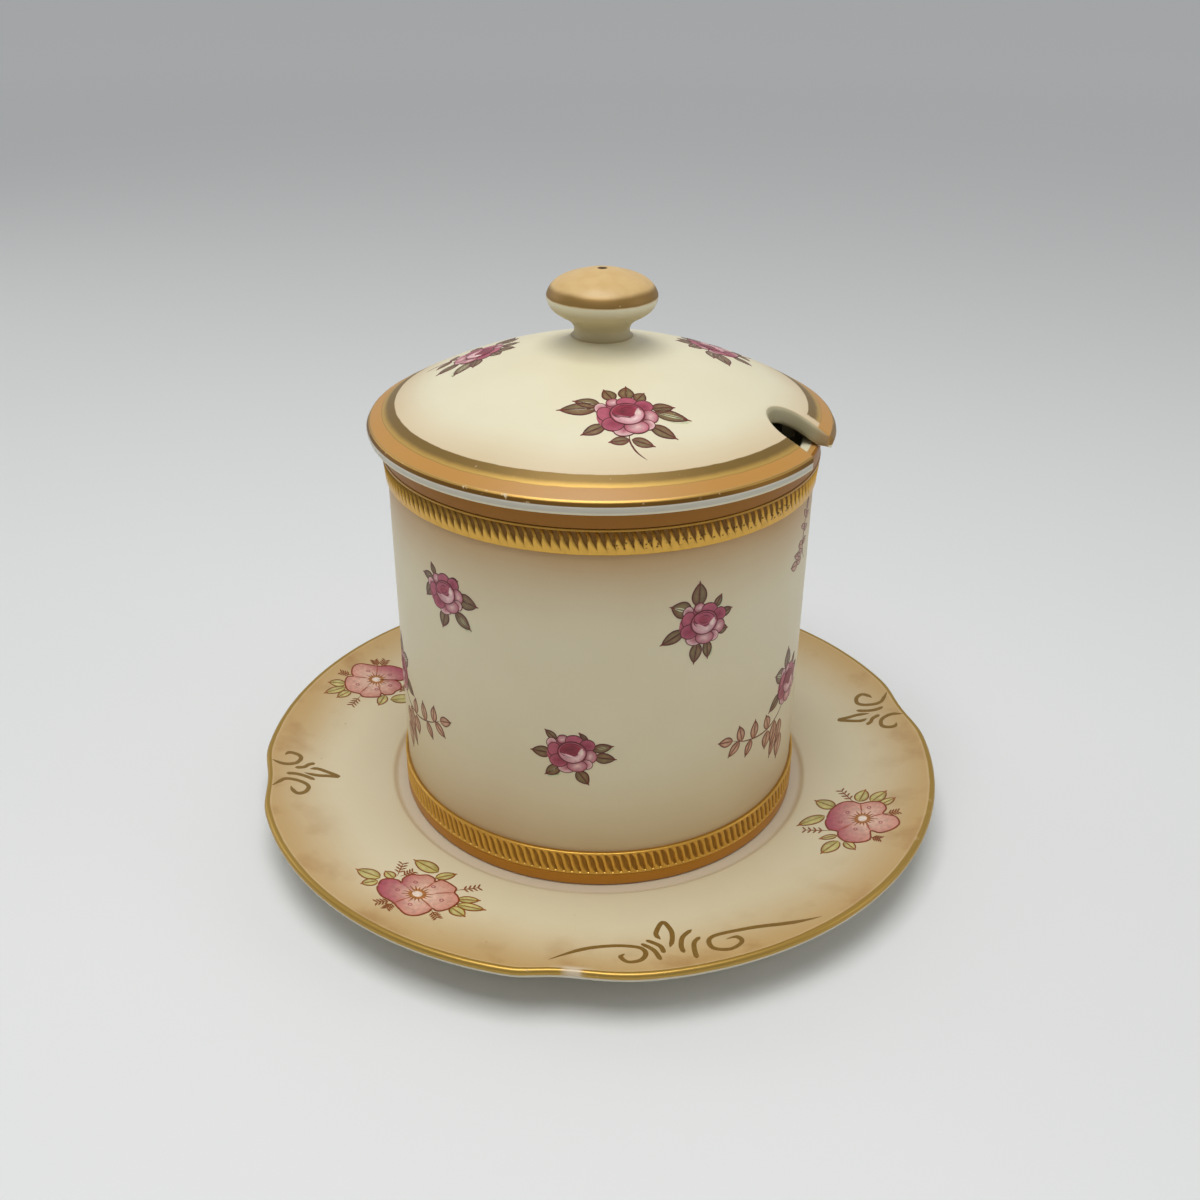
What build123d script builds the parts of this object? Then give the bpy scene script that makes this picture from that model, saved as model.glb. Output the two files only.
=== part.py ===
from build123d import *
from math import cos, pi, radians, sin
import os

# Jam pot of glazed earthenware: a straight jar with two gilt relief bands, a domed lid with
# a spoon notch and a knob, and a lobed saucer with a shallow well that the jar stands in.
# Millimetres, +Z up, origin on the table under the middle of the saucer.
# The spoon notch points along +X.

# Saucer
saucer_radius = 77.8
saucer_rim_height = 12.1
saucer_rim_thickness = 2.0
saucer_rim_tilt = 14.0
saucer_rim_round = 1.2
saucer_floor = 3.6
saucer_foot_height = 2.6
saucer_foot_radius = 42.0
saucer_foot_width = 4.0
saucer_foot_round = 0.8
saucer_blank_margin = 3.0
saucer_round_limit = 0.45  # largest rim round, as a share of the rim's thickness

# Shallow notches that part the saucer's rim into lobes
notch_count = 4
notch_depth = 1.3
notch_radius = 24.0
notch_shoulder = 26.0
notch_turn = 36.7

# Well that the jar stands in
well_clearance = 2.4
well_step = 0.8
well_slope = 0.9

# Jar
jar_height = 85.2
jar_radius = 44.4
jar_wall = 3.0
jar_floor = 4.5
jar_inner_round = 5.0
jar_foot_width = 3.6
jar_foot_recess = 0.8
jar_edge_round = 0.7
foot_strip_height = 2.9
mouth_strip_height = 3.8
strip_relief = 0.75

# Relief bands of slanted ribs, applied to the jar's wall
slip_gap = 0.1
rib_count = 168
rib_lean = 0.95
rib_levels = 4
rib_root_relief = 0.3
line_round_share = 0.4  # rounding of a raised line, as a share of its smaller side
lower_band_height = 5.5
lower_line_height = 0.75
lower_line_relief = 0.8
lower_rib_relief = 0.75
upper_band_height = 5.3
upper_edge_height = 0.7
upper_edge_relief = 0.5
upper_rib_relief = 0.9
upper_line_height = 0.45

# Lid
lid_radius = 48.05
lid_edge_height = 1.5
lid_undercut = 0.5
lid_lip_height = 2.4
lid_lip_round = 0.65
lid_band_width = 2.85
lid_band_rise = 1.3
dome_rise = 12.0
dome_bulge = 1.4
dome_top_radius = 12.0
knob_seat_rise = 2.5
knob_seat_hollow = 0.3125
lid_thickness = 3.3
flange_clearance = 0.6
flange_depth = 4.0
flange_width = 3.0
flange_round = 0.8

# Spoon notch in the lid's edge, and the sector round it that is left without a flange
spoon_notch_width = 10.8
spoon_notch_depth = 12.0
notch_relief_angle = 56.0
notch_relief_reach = 3.4

# Knob
knob_radius = 11.1
knob_height = 13.35
knob_widest_height = 7.6
knob_neck_radius = 5.5
knob_neck_height = 1.2
knob_under_bulge = (0.82, 0.63)  # point on the underside, as shares of the radius and of the widest height
knob_crown_bulge = (0.75, 0.67)  # point on the crown, as shares of the radius and of the crown's height
knob_base_radius = 6.0
knob_seat_margin = 0.3
vent_radius = 0.75
vent_depth = 8.0

# Levels and radii that the pieces share
seat_level = saucer_foot_height + saucer_floor
mouth_level = seat_level + jar_height
strip_radius = jar_radius + strip_relief
bore_radius = jar_radius - jar_wall
well_radius = strip_radius + well_clearance
knob_seat_radius = knob_base_radius + knob_seat_margin
knob_seat_level = mouth_level + lid_lip_height + lid_band_rise + dome_rise + knob_seat_rise


def soften(section, corner, radius):
    """Rounds the corner of a half section that lies nearest to a point."""
    nearest = section.vertices().sort_by_distance(Vector(*corner))[0]
    return fillet(nearest, radius)


def turn(section):
    """Turns a half section, drawn in radius and height, about the upright axis."""
    return revolve(Plane.XZ * section, axis=Axis.Z)


def box_section(inner, outer, low, high):
    """Half section of a plain ring."""
    return make_face(Polyline((inner, low), (outer, low), (outer, high), (inner, high), close=True))


def lobed_outline():
    """Plan of the saucer: a circle with shallow notches whose shoulders are rounded."""
    notch_centre = saucer_radius - notch_depth + notch_radius
    plan = Circle(saucer_radius) - PolarLocations(notch_centre, notch_count) * Circle(notch_radius)
    plan = fillet(plan.vertices(), notch_shoulder)
    return Rot(0, 0, notch_turn) * plan


def make_saucer():
    """Saucer with a foot ring, a well, a rising flange and a rounded, lobed rim."""
    blank_radius = saucer_radius + saucer_blank_margin
    blank_rise = saucer_blank_margin * sin(radians(saucer_rim_tilt))
    under_rim = saucer_rim_height - saucer_rim_thickness
    foot_inner = saucer_foot_radius - saucer_foot_width
    well_edge = (well_radius + well_slope, seat_level + well_step)
    foot_edge = (saucer_foot_radius, saucer_foot_height)
    blank_top = (blank_radius, saucer_rim_height + blank_rise)
    blank_under = (blank_radius, under_rim + blank_rise)
    floor_line = Polyline((0, saucer_foot_height), (0, seat_level), (well_radius, seat_level), well_edge)
    upper_curve = ThreePointArc(well_edge, (saucer_radius, saucer_rim_height), blank_top)
    blank_edge = Line(blank_top, blank_under)
    under_curve = ThreePointArc(blank_under, (saucer_radius, under_rim), foot_edge)
    foot_line = Polyline(
        foot_edge,
        (saucer_foot_radius, 0),
        (foot_inner, 0),
        (foot_inner, saucer_foot_height),
        (0, saucer_foot_height),
    )
    section = make_face(floor_line + upper_curve + blank_edge + under_curve + foot_line)
    section = soften(section, (saucer_foot_radius, 0), saucer_foot_round)
    section = soften(section, (foot_inner, 0), saucer_foot_round)
    saucer = turn(section) & extrude(lobed_outline(), saucer_rim_height + blank_rise)
    rim_inside = saucer_radius - saucer_blank_margin
    rim_edges = saucer.edges().filter_by(Axis.Z, reverse=True)
    rim_edges = rim_edges.filter_by(lambda edge: Vector(edge.center().X, edge.center().Y).length > rim_inside)
    return fillet(rim_edges, min(saucer_rim_round, saucer_round_limit * saucer_rim_thickness))


def make_jar():
    """Straight jar with a recessed base and plain raised strips at its foot and its mouth."""
    foot_inner = strip_radius - jar_edge_round - jar_foot_width
    foot_strip_top = seat_level + foot_strip_height
    mouth_strip_low = mouth_level - mouth_strip_height
    floor_level = seat_level + jar_foot_recess + jar_floor
    section = make_face(
        Polyline(
            (0, seat_level + jar_foot_recess),
            (foot_inner, seat_level + jar_foot_recess),
            (foot_inner, seat_level),
            (strip_radius, seat_level),
            (strip_radius, foot_strip_top),
            (jar_radius, foot_strip_top),
            (jar_radius, mouth_strip_low),
            (strip_radius, mouth_strip_low),
            (strip_radius, mouth_level),
            (bore_radius, mouth_level),
            (bore_radius, floor_level),
            (0, floor_level),
            close=True,
        )
    )
    section = soften(section, (strip_radius, seat_level), jar_edge_round)
    section = soften(section, (strip_radius, mouth_level), jar_edge_round)
    section = soften(section, (bore_radius, mouth_level), jar_edge_round)
    section = soften(section, (bore_radius, floor_level), jar_inner_round)
    return turn(section)


def rib_outline(level, lean, root, crest):
    """Star-shaped outline across the ribs at one level, turned by a part of the rib spacing."""
    corners = []
    for corner in range(2 * rib_count):
        angle = (corner + 2 * lean) * pi / rib_count
        radius = crest if corner % 2 else root
        corners.append((radius * cos(angle), radius * sin(angle), level))
    return Wire.make_polygon(corners, close=True)


def ribbed_ring(low, high, low_crest, high_crest):
    """Ring of slanted, pointed ribs, whose crests swell from one relief to another."""
    root = jar_radius + rib_root_relief
    outlines = []
    for step in range(rib_levels + 1):
        share = step / rib_levels
        crest = jar_radius + low_crest + (high_crest - low_crest) * share
        outlines.append(rib_outline(low + (high - low) * share, -rib_lean * share, root, crest))
    ribs = Solid.make_loft(outlines, ruled=True)
    return ribs - turn(box_section(0, jar_radius + slip_gap, low, high))


def raised_line(low, high, relief):
    """Plain raised line round the jar, with its outer edges rounded."""
    outer = jar_radius + relief
    section = box_section(jar_radius + slip_gap, outer, low, high)
    edge_round = line_round_share * min(relief - slip_gap, high - low)
    section = soften(section, (outer, low), edge_round)
    return turn(soften(section, (outer, high), edge_round))


def make_lower_band():
    """Relief band that stands on the foot strip: slanted ribs between two raised lines."""
    low = seat_level + foot_strip_height
    high = low + lower_band_height
    ribs_low = low + lower_line_height
    ribs_high = high - lower_line_height
    foot_line = raised_line(low, ribs_low, lower_line_relief)
    top_line = raised_line(ribs_high, high, lower_line_relief)
    return foot_line + ribbed_ring(ribs_low, ribs_high, lower_rib_relief, lower_rib_relief) + top_line


def make_upper_band():
    """Relief band under the mouth strip: ribs that deepen upwards from a plain edge to a thin line."""
    high = mouth_level - mouth_strip_height
    low = high - upper_band_height
    ribs_low = low + upper_edge_height
    ribs_high = high - upper_line_height
    lower_edge = raised_line(low, ribs_low, upper_edge_relief)
    top_line = raised_line(ribs_high, high, upper_rib_relief)
    return lower_edge + ribbed_ring(ribs_low, ribs_high, upper_edge_relief, upper_rib_relief) + top_line


def make_lid():
    """Domed lid with a flange that stops short of the spoon notch, and a raised knob seat."""
    flange_outer = bore_radius - flange_clearance
    flange_inner = flange_outer - flange_width
    flange_low = mouth_level - flange_depth
    lip = (lid_radius - lid_lip_round, mouth_level + lid_lip_height)
    dome_foot = (lip[0] - lid_band_width + lid_lip_round, lip[1] + lid_band_rise)
    dome_top = (dome_top_radius, dome_foot[1] + dome_rise)
    seat_edge = (knob_seat_radius, knob_seat_level)
    inner_foot = (flange_inner, dome_foot[1])
    inner_top = (0, dome_top[1] - lid_thickness)
    edge_line = Polyline(
        (flange_outer, flange_low),
        (flange_outer, mouth_level),
        (lid_radius - lid_undercut, mouth_level),
        (lid_radius, mouth_level + lid_edge_height),
        lip,
        dome_foot,
    )
    dome_curve = SagittaArc(dome_foot, dome_top, -dome_bulge)
    seat_curve = SagittaArc(dome_top, seat_edge, knob_seat_hollow)
    seat_line = Polyline(seat_edge, (0, knob_seat_level), inner_top)
    inner_curve = SagittaArc(inner_top, inner_foot, dome_bulge)
    flange_line = Polyline(inner_foot, (flange_inner, flange_low), (flange_outer, flange_low))
    section = make_face(edge_line + dome_curve + seat_curve + seat_line + inner_curve + flange_line)
    section = soften(section, (lid_radius, mouth_level + lid_edge_height), lid_lip_round)
    section = soften(section, lip, lid_lip_round)
    section = soften(section, (flange_outer, flange_low), flange_round)
    section = soften(section, (flange_inner, flange_low), flange_round)
    half_width = spoon_notch_width / 2
    notch_end = lid_radius - spoon_notch_depth + half_width
    notch_plan = Pos(notch_end, 0) * Circle(half_width)
    notch_plan += Pos(notch_end + lid_radius / 2, 0) * Rectangle(lid_radius, spoon_notch_width)
    notch = Pos(0, 0, flange_low) * extrude(notch_plan, knob_seat_level - flange_low)
    relief_outer = bore_radius + notch_relief_reach
    relief_inner = flange_inner - flange_clearance
    relief_section = make_face(
        Polyline(
            (relief_inner, flange_low - flange_clearance),
            (relief_outer, flange_low - flange_clearance),
            (relief_outer, mouth_level),
            inner_foot,
            (relief_inner, inner_foot[1]),
            close=True,
        )
    )
    relief = revolve(Plane.XZ * relief_section, axis=Axis.Z, revolution_arc=notch_relief_angle)
    return turn(section) - notch - Rot(0, 0, -notch_relief_angle / 2) * relief


def make_knob():
    """Mushroom knob with a full underside and a waisted neck, and a blind vent hole in its top."""
    base = (knob_base_radius, knob_seat_level)
    neck = (knob_neck_radius, knob_seat_level + knob_neck_height)
    widest = (knob_radius, knob_seat_level + knob_widest_height)
    top = (0, knob_seat_level + knob_height)
    crown_height = knob_height - knob_widest_height
    under = (knob_radius * knob_under_bulge[0], knob_seat_level + knob_widest_height * knob_under_bulge[1])
    crown = (knob_radius * knob_crown_bulge[0], widest[1] + crown_height * knob_crown_bulge[1])
    upward = (0, 1)
    neck_curve = Spline(base, neck, tangents=[(-1, 1), upward])
    under_curve = Spline(neck, under, widest, tangents=[upward, upward])
    crown_curve = Spline(widest, crown, top, tangents=[upward, (-1, 0)])
    axis_line = Polyline(top, (0, knob_seat_level), base)
    knob = turn(make_face(neck_curve + under_curve + crown_curve + axis_line))
    vent = box_section(0, vent_radius, top[1] - vent_depth, top[1])
    return knob - turn(vent)


nodes = {
    "saucer": make_saucer(),
    "jar": make_jar(),
    "jar_lower_band": make_lower_band(),
    "jar_upper_band": make_upper_band(),
    "lid": make_lid(),
    "lid_knob": make_knob(),
}
os.makedirs("parts", exist_ok=True)
for name, solid in nodes.items():
    export_step(solid, f"parts/{name}.step")
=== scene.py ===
# Looks of a glazed earthenware jam pot: saucer, jar and lid with gilt relief bands,
# rose prints in enamel colours and gold scrolls. Millimetres, turned to metres by MM.
import bmesh
import bpy
import numpy as np
from math import atan2, cos, degrees, pi, radians, sin, tan
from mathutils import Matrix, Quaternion, Vector


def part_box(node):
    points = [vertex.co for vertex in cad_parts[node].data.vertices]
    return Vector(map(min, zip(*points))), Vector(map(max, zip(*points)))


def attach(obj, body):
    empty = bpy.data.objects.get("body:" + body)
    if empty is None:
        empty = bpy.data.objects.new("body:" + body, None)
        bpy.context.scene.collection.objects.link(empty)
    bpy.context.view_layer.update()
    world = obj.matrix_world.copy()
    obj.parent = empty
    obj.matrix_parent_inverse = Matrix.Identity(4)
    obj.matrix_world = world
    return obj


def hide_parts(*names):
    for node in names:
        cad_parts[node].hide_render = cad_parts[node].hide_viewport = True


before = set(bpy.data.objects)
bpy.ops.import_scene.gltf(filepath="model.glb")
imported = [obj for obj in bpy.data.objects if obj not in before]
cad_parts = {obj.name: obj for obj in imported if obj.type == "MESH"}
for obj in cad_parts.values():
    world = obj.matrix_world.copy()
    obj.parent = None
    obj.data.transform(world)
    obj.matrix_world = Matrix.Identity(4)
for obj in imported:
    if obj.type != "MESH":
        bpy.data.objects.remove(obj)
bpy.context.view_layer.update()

MM = 0.001
HAIR = 0.005


def turned_size(node):
    """Outer radius, foot and top of a turned node in mm, a hair inside its box."""
    low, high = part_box(node)
    return high.y / MM - HAIR, low.z / MM + HAIR, high.z / MM - HAIR


# Sizes that the solids give
SAUCER_RADIUS, TABLE_LEVEL, _ = turned_size("saucer")
STRIP_RADIUS, SEAT_LEVEL, MOUTH_LEVEL = turned_size("jar")
LOWER_RADIUS, LOWER_FOOT, LOWER_TOP = turned_size("jar_lower_band")
UPPER_RADIUS, UPPER_FOOT, UPPER_TOP = turned_size("jar_upper_band")
LID_RADIUS, FLANGE_FOOT, KNOB_SEAT = turned_size("lid")
KNOB_RADIUS, _, KNOB_TOP = turned_size("lid_knob")

# Saucer
FOOT_RING_OUTER = 42.0
FOOT_RING_INNER = 38.0
FOOT_RING_HEIGHT = 2.6
WELL_RADIUS = 47.55
WELL_STEP = 0.8
WELL_SLOPE = 0.9
RIM_LEVEL = 12.1
RIM_THICKNESS = 2.0
RIM_ROUND = 0.85
RIM_GILT = 1.35
SAUCER_BLUSH_START = 58.0
SAUCER_STEPS = 360
SAUCER_RING = 2.0

# Levels within the saucer's wall that part its upper side from its underside
MIDDLE_AT_WELL = 5.0
MIDDLE_AT_RIM = RIM_LEVEL - 0.42 * RIM_THICKNESS

# Lobes of the saucer's rim, and its kiln warp: the front notch slid round, and the front drew in
LOBES = 4
LOBE_TURN = radians(36.7)
LOBE_DIP = 1.3
LOBE_REACH = 13.0
LOBE_START = 58.0
SLIDE = radians(16.5)
SLIDE_TURN = radians(-69.8)
SLIDE_SPREAD = radians(25)
WARP_DIP = 1.1
WARP_TURN = radians(-55)
WARP_SPREAD = radians(45)

# Jar
STRIP_RELIEF = 0.75
WALL_RADIUS = STRIP_RADIUS - STRIP_RELIEF
BORE_RADIUS = WALL_RADIUS - 3.0
JAR_FOOT_WIDTH = 4.3
JAR_FOOT_RECESS = 0.8
JAR_FLOOR = 4.5
LOWER_BLUSH = 22.0
UPPER_BLUSH = 20.0
JAR_STEPS = 256
JAR_RING = 2.5

# Relief bands
RIBS = 168
RIB_LEAN = 0.95
RIB_COLUMNS = 8
RIB_LEVELS = 14
RIB_SWAY = 1 / 14
RIB_SLACK = 0.01
BAND_BACK = WALL_RADIUS - 0.1
BACK_SLACK = 0.05
RIB_ROOT = WALL_RADIUS + 0.28
LINE_HEIGHT = 0.45
EDGE_HEIGHT = 0.7
TOP_LINE_HEIGHT = 0.45
EDGE_RADIUS = WALL_RADIUS + 0.5
PIT_TURN = radians(-37)
PIT_SPACING = 0.85

# Lid
KNOB_SEAT_RADIUS = 6.3
DOME_TOP_RADIUS = 12.0
DOME_TOP = KNOB_SEAT - 2.5
DOME_FOOT_RADIUS = 45.2
DOME_FOOT = MOUTH_LEVEL + 3.7
DOME_BULGE = 1.4
GOLD_BAND_INNER = 41.9
GOLD_BAND_OUTER = DOME_FOOT_RADIUS - 0.35
LIP_RADIUS = 47.4
LIP_LEVEL = MOUTH_LEVEL + 2.4
EDGE_LEVEL = MOUTH_LEVEL + 1.35
EDGE_UNDERCUT = 0.4
LID_THICKNESS = 3.3
FLANGE_OUTER = BORE_RADIUS - 0.6
FLANGE_INNER = FLANGE_OUTER - 3.0
FLANGE_DRAFT = 0.05
LID_BLUSH_START = 33.0
LID_STEPS = 320

# Spoon notch, which points along +X
NOTCH_HALF = 5.4
NOTCH_CENTRE = 41.45
NOTCH_TIP = NOTCH_CENTRE - NOTCH_HALF
NOTCH_ROUND = 0.9
NOTCH_CROWDING = 0.85
NOTCH_SOFT = 1.3
NOTCH_FLARE = 2.2
RELIEF_HALF_ANGLE = radians(28)
RELIEF_SOFT = radians(1)
RELIEF_RADIUS = BORE_RADIUS + 3.4
SEAM_GAP = 1e-4
TIP_SLACK = 1e-4
EDGE_SLACK = 0.05

# Knob
VENT_RADIUS = 0.75
VENT_DEPTH = 8.0
KNOB_WIDEST = 7.6
KNOB_STEPS = 128
KNOB_RING = 1.5

# Prints: heights of their coats over the glaze, and how they are drawn
COAT_BASE = 0.03
COAT_STEP = 0.012
COAT_DEPTH = 0.2
BLADE_STEPS = 10
STAMENS = 18
LID_ROSE_SIZE = 1.1
SPRAY_LEAF_WIDTH = 1.25
SCROLL_STROKE = 1.0

# Meshes
SMOOTH_ANGLE = radians(50)
MERGE_DISTANCE = 0.002


# Modelling


def start_piece(name):
    """Adds a small plane with nothing else selected and merges it to one vertex at the origin."""
    bpy.ops.object.select_all(action="DESELECT")
    bpy.ops.mesh.primitive_plane_add(size=MM)
    piece = bpy.context.object
    piece.name = name
    piece.data.name = name
    bpy.ops.object.mode_set(mode="EDIT")
    bpy.ops.mesh.select_all(action="SELECT")
    bpy.ops.mesh.merge(type="CENTER")
    return piece


def bow(start, end, rise, steps):
    """Corners between two points on a shallow arc that stands off its chord, to the left, by rise."""
    start, end = Vector(start), Vector(end)
    chord = end - start
    across = Vector((-chord.y, chord.x)).normalized()
    shares = [step / steps for step in range(1, steps)]
    places = [start + chord * share + across * 4 * rise * share * (1 - share) for share in shares]
    return [(place.x, place.y, 0) for place in places]


def rounded_outline(corners, steps=6):
    """Outline through corners, given as radius, height and rounding, with an arc at each rounding."""
    points = []
    for index, (radius, height, rounding) in enumerate(corners):
        corner = Vector((radius, height))
        if rounding == 0:
            points.append(corner)
            continue
        to_last = (Vector(corners[index - 1][:2]) - corner).normalized()
        to_next = (Vector(corners[index + 1][:2]) - corner).normalized()
        half = to_last.angle(to_next) / 2
        centre = corner + (to_last + to_next).normalized() * rounding / sin(half)
        first = corner + to_last * rounding / tan(half) - centre
        last = corner + to_next * rounding / tan(half) - centre
        points += [centre + first.slerp(last, step / steps) * rounding for step in range(steps + 1)]
    return points


def divided(points, longest):
    """The same outline with its long runs divided, so that no ring of faces is taller than longest."""
    found = [points[0]]
    for start, end in zip(points, points[1:]):
        parts = max(1, round((end - start).length / longest))
        found += [start.lerp(end, part / parts) for part in range(1, parts + 1)]
    return found


def curve_through(points, steps, closed=False):
    """Smooth curve through a few points of a drawing or an outline."""
    points = [Vector(point) for point in points]
    count = len(points)
    found = []
    for span in range(count if closed else count - 1):
        picks = [span + offset for offset in (-1, 0, 1, 2)]
        if closed:
            before, start, end, after = (points[pick % count] for pick in picks)
        else:
            before, start, end, after = (points[min(max(pick, 0), count - 1)] for pick in picks)
        for step in range(steps):
            share = step / steps
            bend = (2 * before - 5 * start + 4 * end - after) * share**2
            swing = (3 * start - before - 3 * end + after) * share**3
            found.append(start + ((end - before) * share + bend + swing) / 2)
    return found if closed else found + [points[-1]]


def turned(name, outline, steps, seam_open=False):
    """Draws an outline from one vertex by extruding it, and turns it about the upright axis."""
    piece = start_piece(name)
    bpy.ops.transform.translate(value=(outline[0].x * MM, 0, outline[0].y * MM))
    for start, end in zip(outline, outline[1:]):
        move = (end - start) * MM
        bpy.ops.mesh.extrude_region_move(TRANSFORM_OT_translate={"value": (move.x, 0, move.y)})
    bpy.ops.object.mode_set(mode="OBJECT")
    lathe = piece.modifiers.new("lathe", "SCREW")
    lathe.angle = 2 * pi * (1 - SEAM_GAP) if seam_open else 2 * pi
    lathe.steps = steps
    lathe.render_steps = steps
    bpy.ops.object.modifier_apply(modifier="lathe")
    if not seam_open:
        bpy.ops.object.mode_set(mode="EDIT")
        close_mesh()
        bpy.ops.object.mode_set(mode="OBJECT")
    return piece


def close_mesh():
    """Merges doubled vertices at seams and poles, then turns all faces outwards, in edit mode."""
    bpy.ops.mesh.select_all(action="SELECT")
    bpy.ops.mesh.remove_doubles(threshold=MERGE_DISTANCE * MM)
    bpy.ops.mesh.normals_make_consistent(inside=False)


def reshape(piece, press):
    """Moves a piece's vertices as a tool presses clay: press takes and gives x, y and z in mm."""
    places = np.empty(3 * len(piece.data.vertices))
    piece.data.vertices.foreach_get("co", places)
    pressed = press(*(places.reshape(-1, 3).T / MM))
    piece.data.vertices.foreach_set("co", (np.stack(pressed, axis=1) * MM).ravel())
    piece.data.update()


def select_only(piece):
    """Makes a piece the active one, with nothing else selected."""
    bpy.ops.object.select_all(action="DESELECT")
    piece.select_set(True)
    bpy.context.view_layer.objects.active = piece


def finish_piece(piece, material, body, slot, *nodes):
    """Smooths and paints a piece, and says what it rides on and replaces; slot is not used."""
    select_only(piece)
    bpy.ops.object.shade_smooth_by_angle(angle=SMOOTH_ANGLE)
    piece.data.materials.append(material)
    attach(piece, body)
    if nodes:
        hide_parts(*nodes)


# Materials


def linear(colour):
    """Linear colour of an sRGB hex value."""
    channels = [int(colour[place:place + 2], 16) / 255 for place in (1, 3, 5)]
    curve = [value / 12.92 if value <= 0.04045 else ((value + 0.055) / 1.055) ** 2.4 for value in channels]
    return (*curve, 1.0)


def add(tree, kind, inputs=(), out=0, **settings):
    """Adds a node with its settings, fills or links its sockets and gives back one of its outputs."""
    made = tree.nodes.new("ShaderNode" + kind)
    for name, value in settings.items():
        setattr(made, name, value)
    for socket, value in dict(inputs).items():
        if isinstance(value, bpy.types.NodeSocket):
            tree.links.new(value, made.inputs[socket])
        else:
            made.inputs[socket].default_value = value
    return made.outputs[out] if made.outputs else None


def start_material(name):
    """Empty node material; gives back the material, its tree, and place, radius and height sockets."""
    material = bpy.data.materials.new(name)
    material.use_nodes = True
    tree = material.node_tree
    tree.nodes.clear()
    place = add(tree, "TexCoord", out="Object")
    plan = add(tree, "VectorMath", {0: place, 1: (1, 1, 0)}, operation="MULTIPLY")
    radius = add(tree, "VectorMath", {0: plan}, out="Value", operation="LENGTH")
    height = add(tree, "SeparateXYZ", {0: place}, out="Z")
    return material, tree, place, radius, height


def finish_material(material, tree, inputs):
    """Ends a material with its shader, whose sockets are given."""
    shader = add(tree, "BsdfPrincipled", inputs)
    add(tree, "OutputMaterial", {"Surface": shader})
    return material


def overlap(tree, *masks):
    """Mask of where all the masks meet; one may also be a plain share, or a measure to be masked."""
    met = masks[0]
    for mask in masks[1:]:
        met = add(tree, "Math", {0: met, 1: mask}, operation="MULTIPLY")
    return met


def between(tree, value, low, high, soft_low, soft_high):
    """Mask of 1 from low to high, in mm, that fades in over soft_low and out over soft_high inside them."""
    start = {0: value, 1: low * MM, 2: (low + soft_low) * MM}
    rise = add(tree, "MapRange", start, interpolation_type="SMOOTHSTEP")
    end = {0: value, 1: (high - soft_high) * MM, 2: high * MM, 3: 1.0, 4: 0.0}
    fall = add(tree, "MapRange", end, interpolation_type="SMOOTHSTEP")
    return overlap(tree, rise, fall)


def waver(tree, value, place, size, reach):
    """The same value shifted by noise of a size in mm, so that a painted edge isn't ruled."""
    noise = add(tree, "TexNoise", {"Vector": place, "Scale": 1 / (size * MM), "Detail": 3.0})
    shift = add(tree, "Math", {0: noise, 1: 0.5}, operation="SUBTRACT")
    return add(tree, "Math", {0: shift, 1: 2 * reach * MM, 2: value}, operation="MULTIPLY_ADD")


def tinted(tree, ground, mask, colour, share=1.0):
    """Lays a colour over the ground, a socket or a linear colour, through a mask, at most by a share."""
    depth = overlap(tree, mask, share)
    tone = colour if isinstance(colour, bpy.types.NodeSocket) else linear(colour)
    return add(tree, "Mix", {0: depth, 6: ground, 7: tone}, out=2, data_type="RGBA")


def ivory_ground(tree, place):
    """Ivory glaze that is a little uneven in tone, with sparse iron specks fired into it."""
    cloud = add(tree, "TexNoise", {"Vector": place, "Scale": 1 / (22 * MM), "Detail": 4.0})
    ground = tinted(tree, linear("#E9E2C6"), cloud, "#DDD3AF")
    cell = {"Vector": place, "Scale": 1 / (7.5 * MM)}
    near = add(tree, "TexVoronoi", cell, out="Distance")
    pick = add(tree, "TexVoronoi", cell, out="Color")
    chosen = add(tree, "Math", {0: pick, 1: 0.62}, operation="GREATER_THAN")
    dot = add(tree, "MapRange", {0: near, 1: 0.018, 2: 0.034, 3: 1.0, 4: 0.0})
    speck = overlap(tree, dot, chosen)
    return tinted(tree, ground, speck, "#5D4A33", 0.75)


def glazed_surface(material, tree, place, colour, gilding, rough_gilding):
    """Satin glaze with faint orange peel; gilding is the mask of what is gold rather than glaze."""
    cloud = add(tree, "TexNoise", {"Vector": place, "Scale": 1 / (9 * MM), "Detail": 5.0})
    satin = add(tree, "MapRange", {0: cloud, 3: 0.34, 4: 0.48})
    rough = add(tree, "Mix", {0: gilding, 2: satin, 3: rough_gilding})
    metal = overlap(tree, gilding, 0.85)
    peel = add(tree, "TexNoise", {"Vector": place, "Scale": 1 / (2.2 * MM), "Detail": 2.0})
    bump = add(tree, "Bump", {"Strength": 0.06, "Distance": 0.05 * MM, "Height": peel})
    return finish_material(material, tree, {"Base Color": colour, "Metallic": metal, "Roughness": rough,
                                            "IOR": 1.5, "Normal": bump})


def worn_gilding(tree, place, mask, size, wear):
    """Gilding rubbed away in flakes of a size in mm, the more the higher the wear."""
    flake = add(tree, "TexNoise", {"Vector": place, "Scale": 1 / (size * MM), "Detail": 6.0})
    left = add(tree, "MapRange", {0: flake, 1: wear - 0.03, 2: wear + 0.05})
    return overlap(tree, mask, left)


def notch_distance(tree, place):
    """Distance in plan from the middle line of the lid's spoon notch, and the place to its side."""
    notch_centre = (NOTCH_CENTRE * MM, 0, 0)
    past_end = add(tree, "VectorMath", {0: place, 1: notch_centre}, operation="SUBTRACT")
    past_end = add(tree, "SeparateXYZ", {0: past_end})
    past_end = add(tree, "Math", {0: past_end, 1: 0.0}, operation="MINIMUM")
    side = add(tree, "SeparateXYZ", {0: place}, out="Y")
    offset = add(tree, "CombineXYZ", {0: past_end, 1: side})
    return add(tree, "VectorMath", {0: offset}, out="Value", operation="LENGTH"), side


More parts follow.
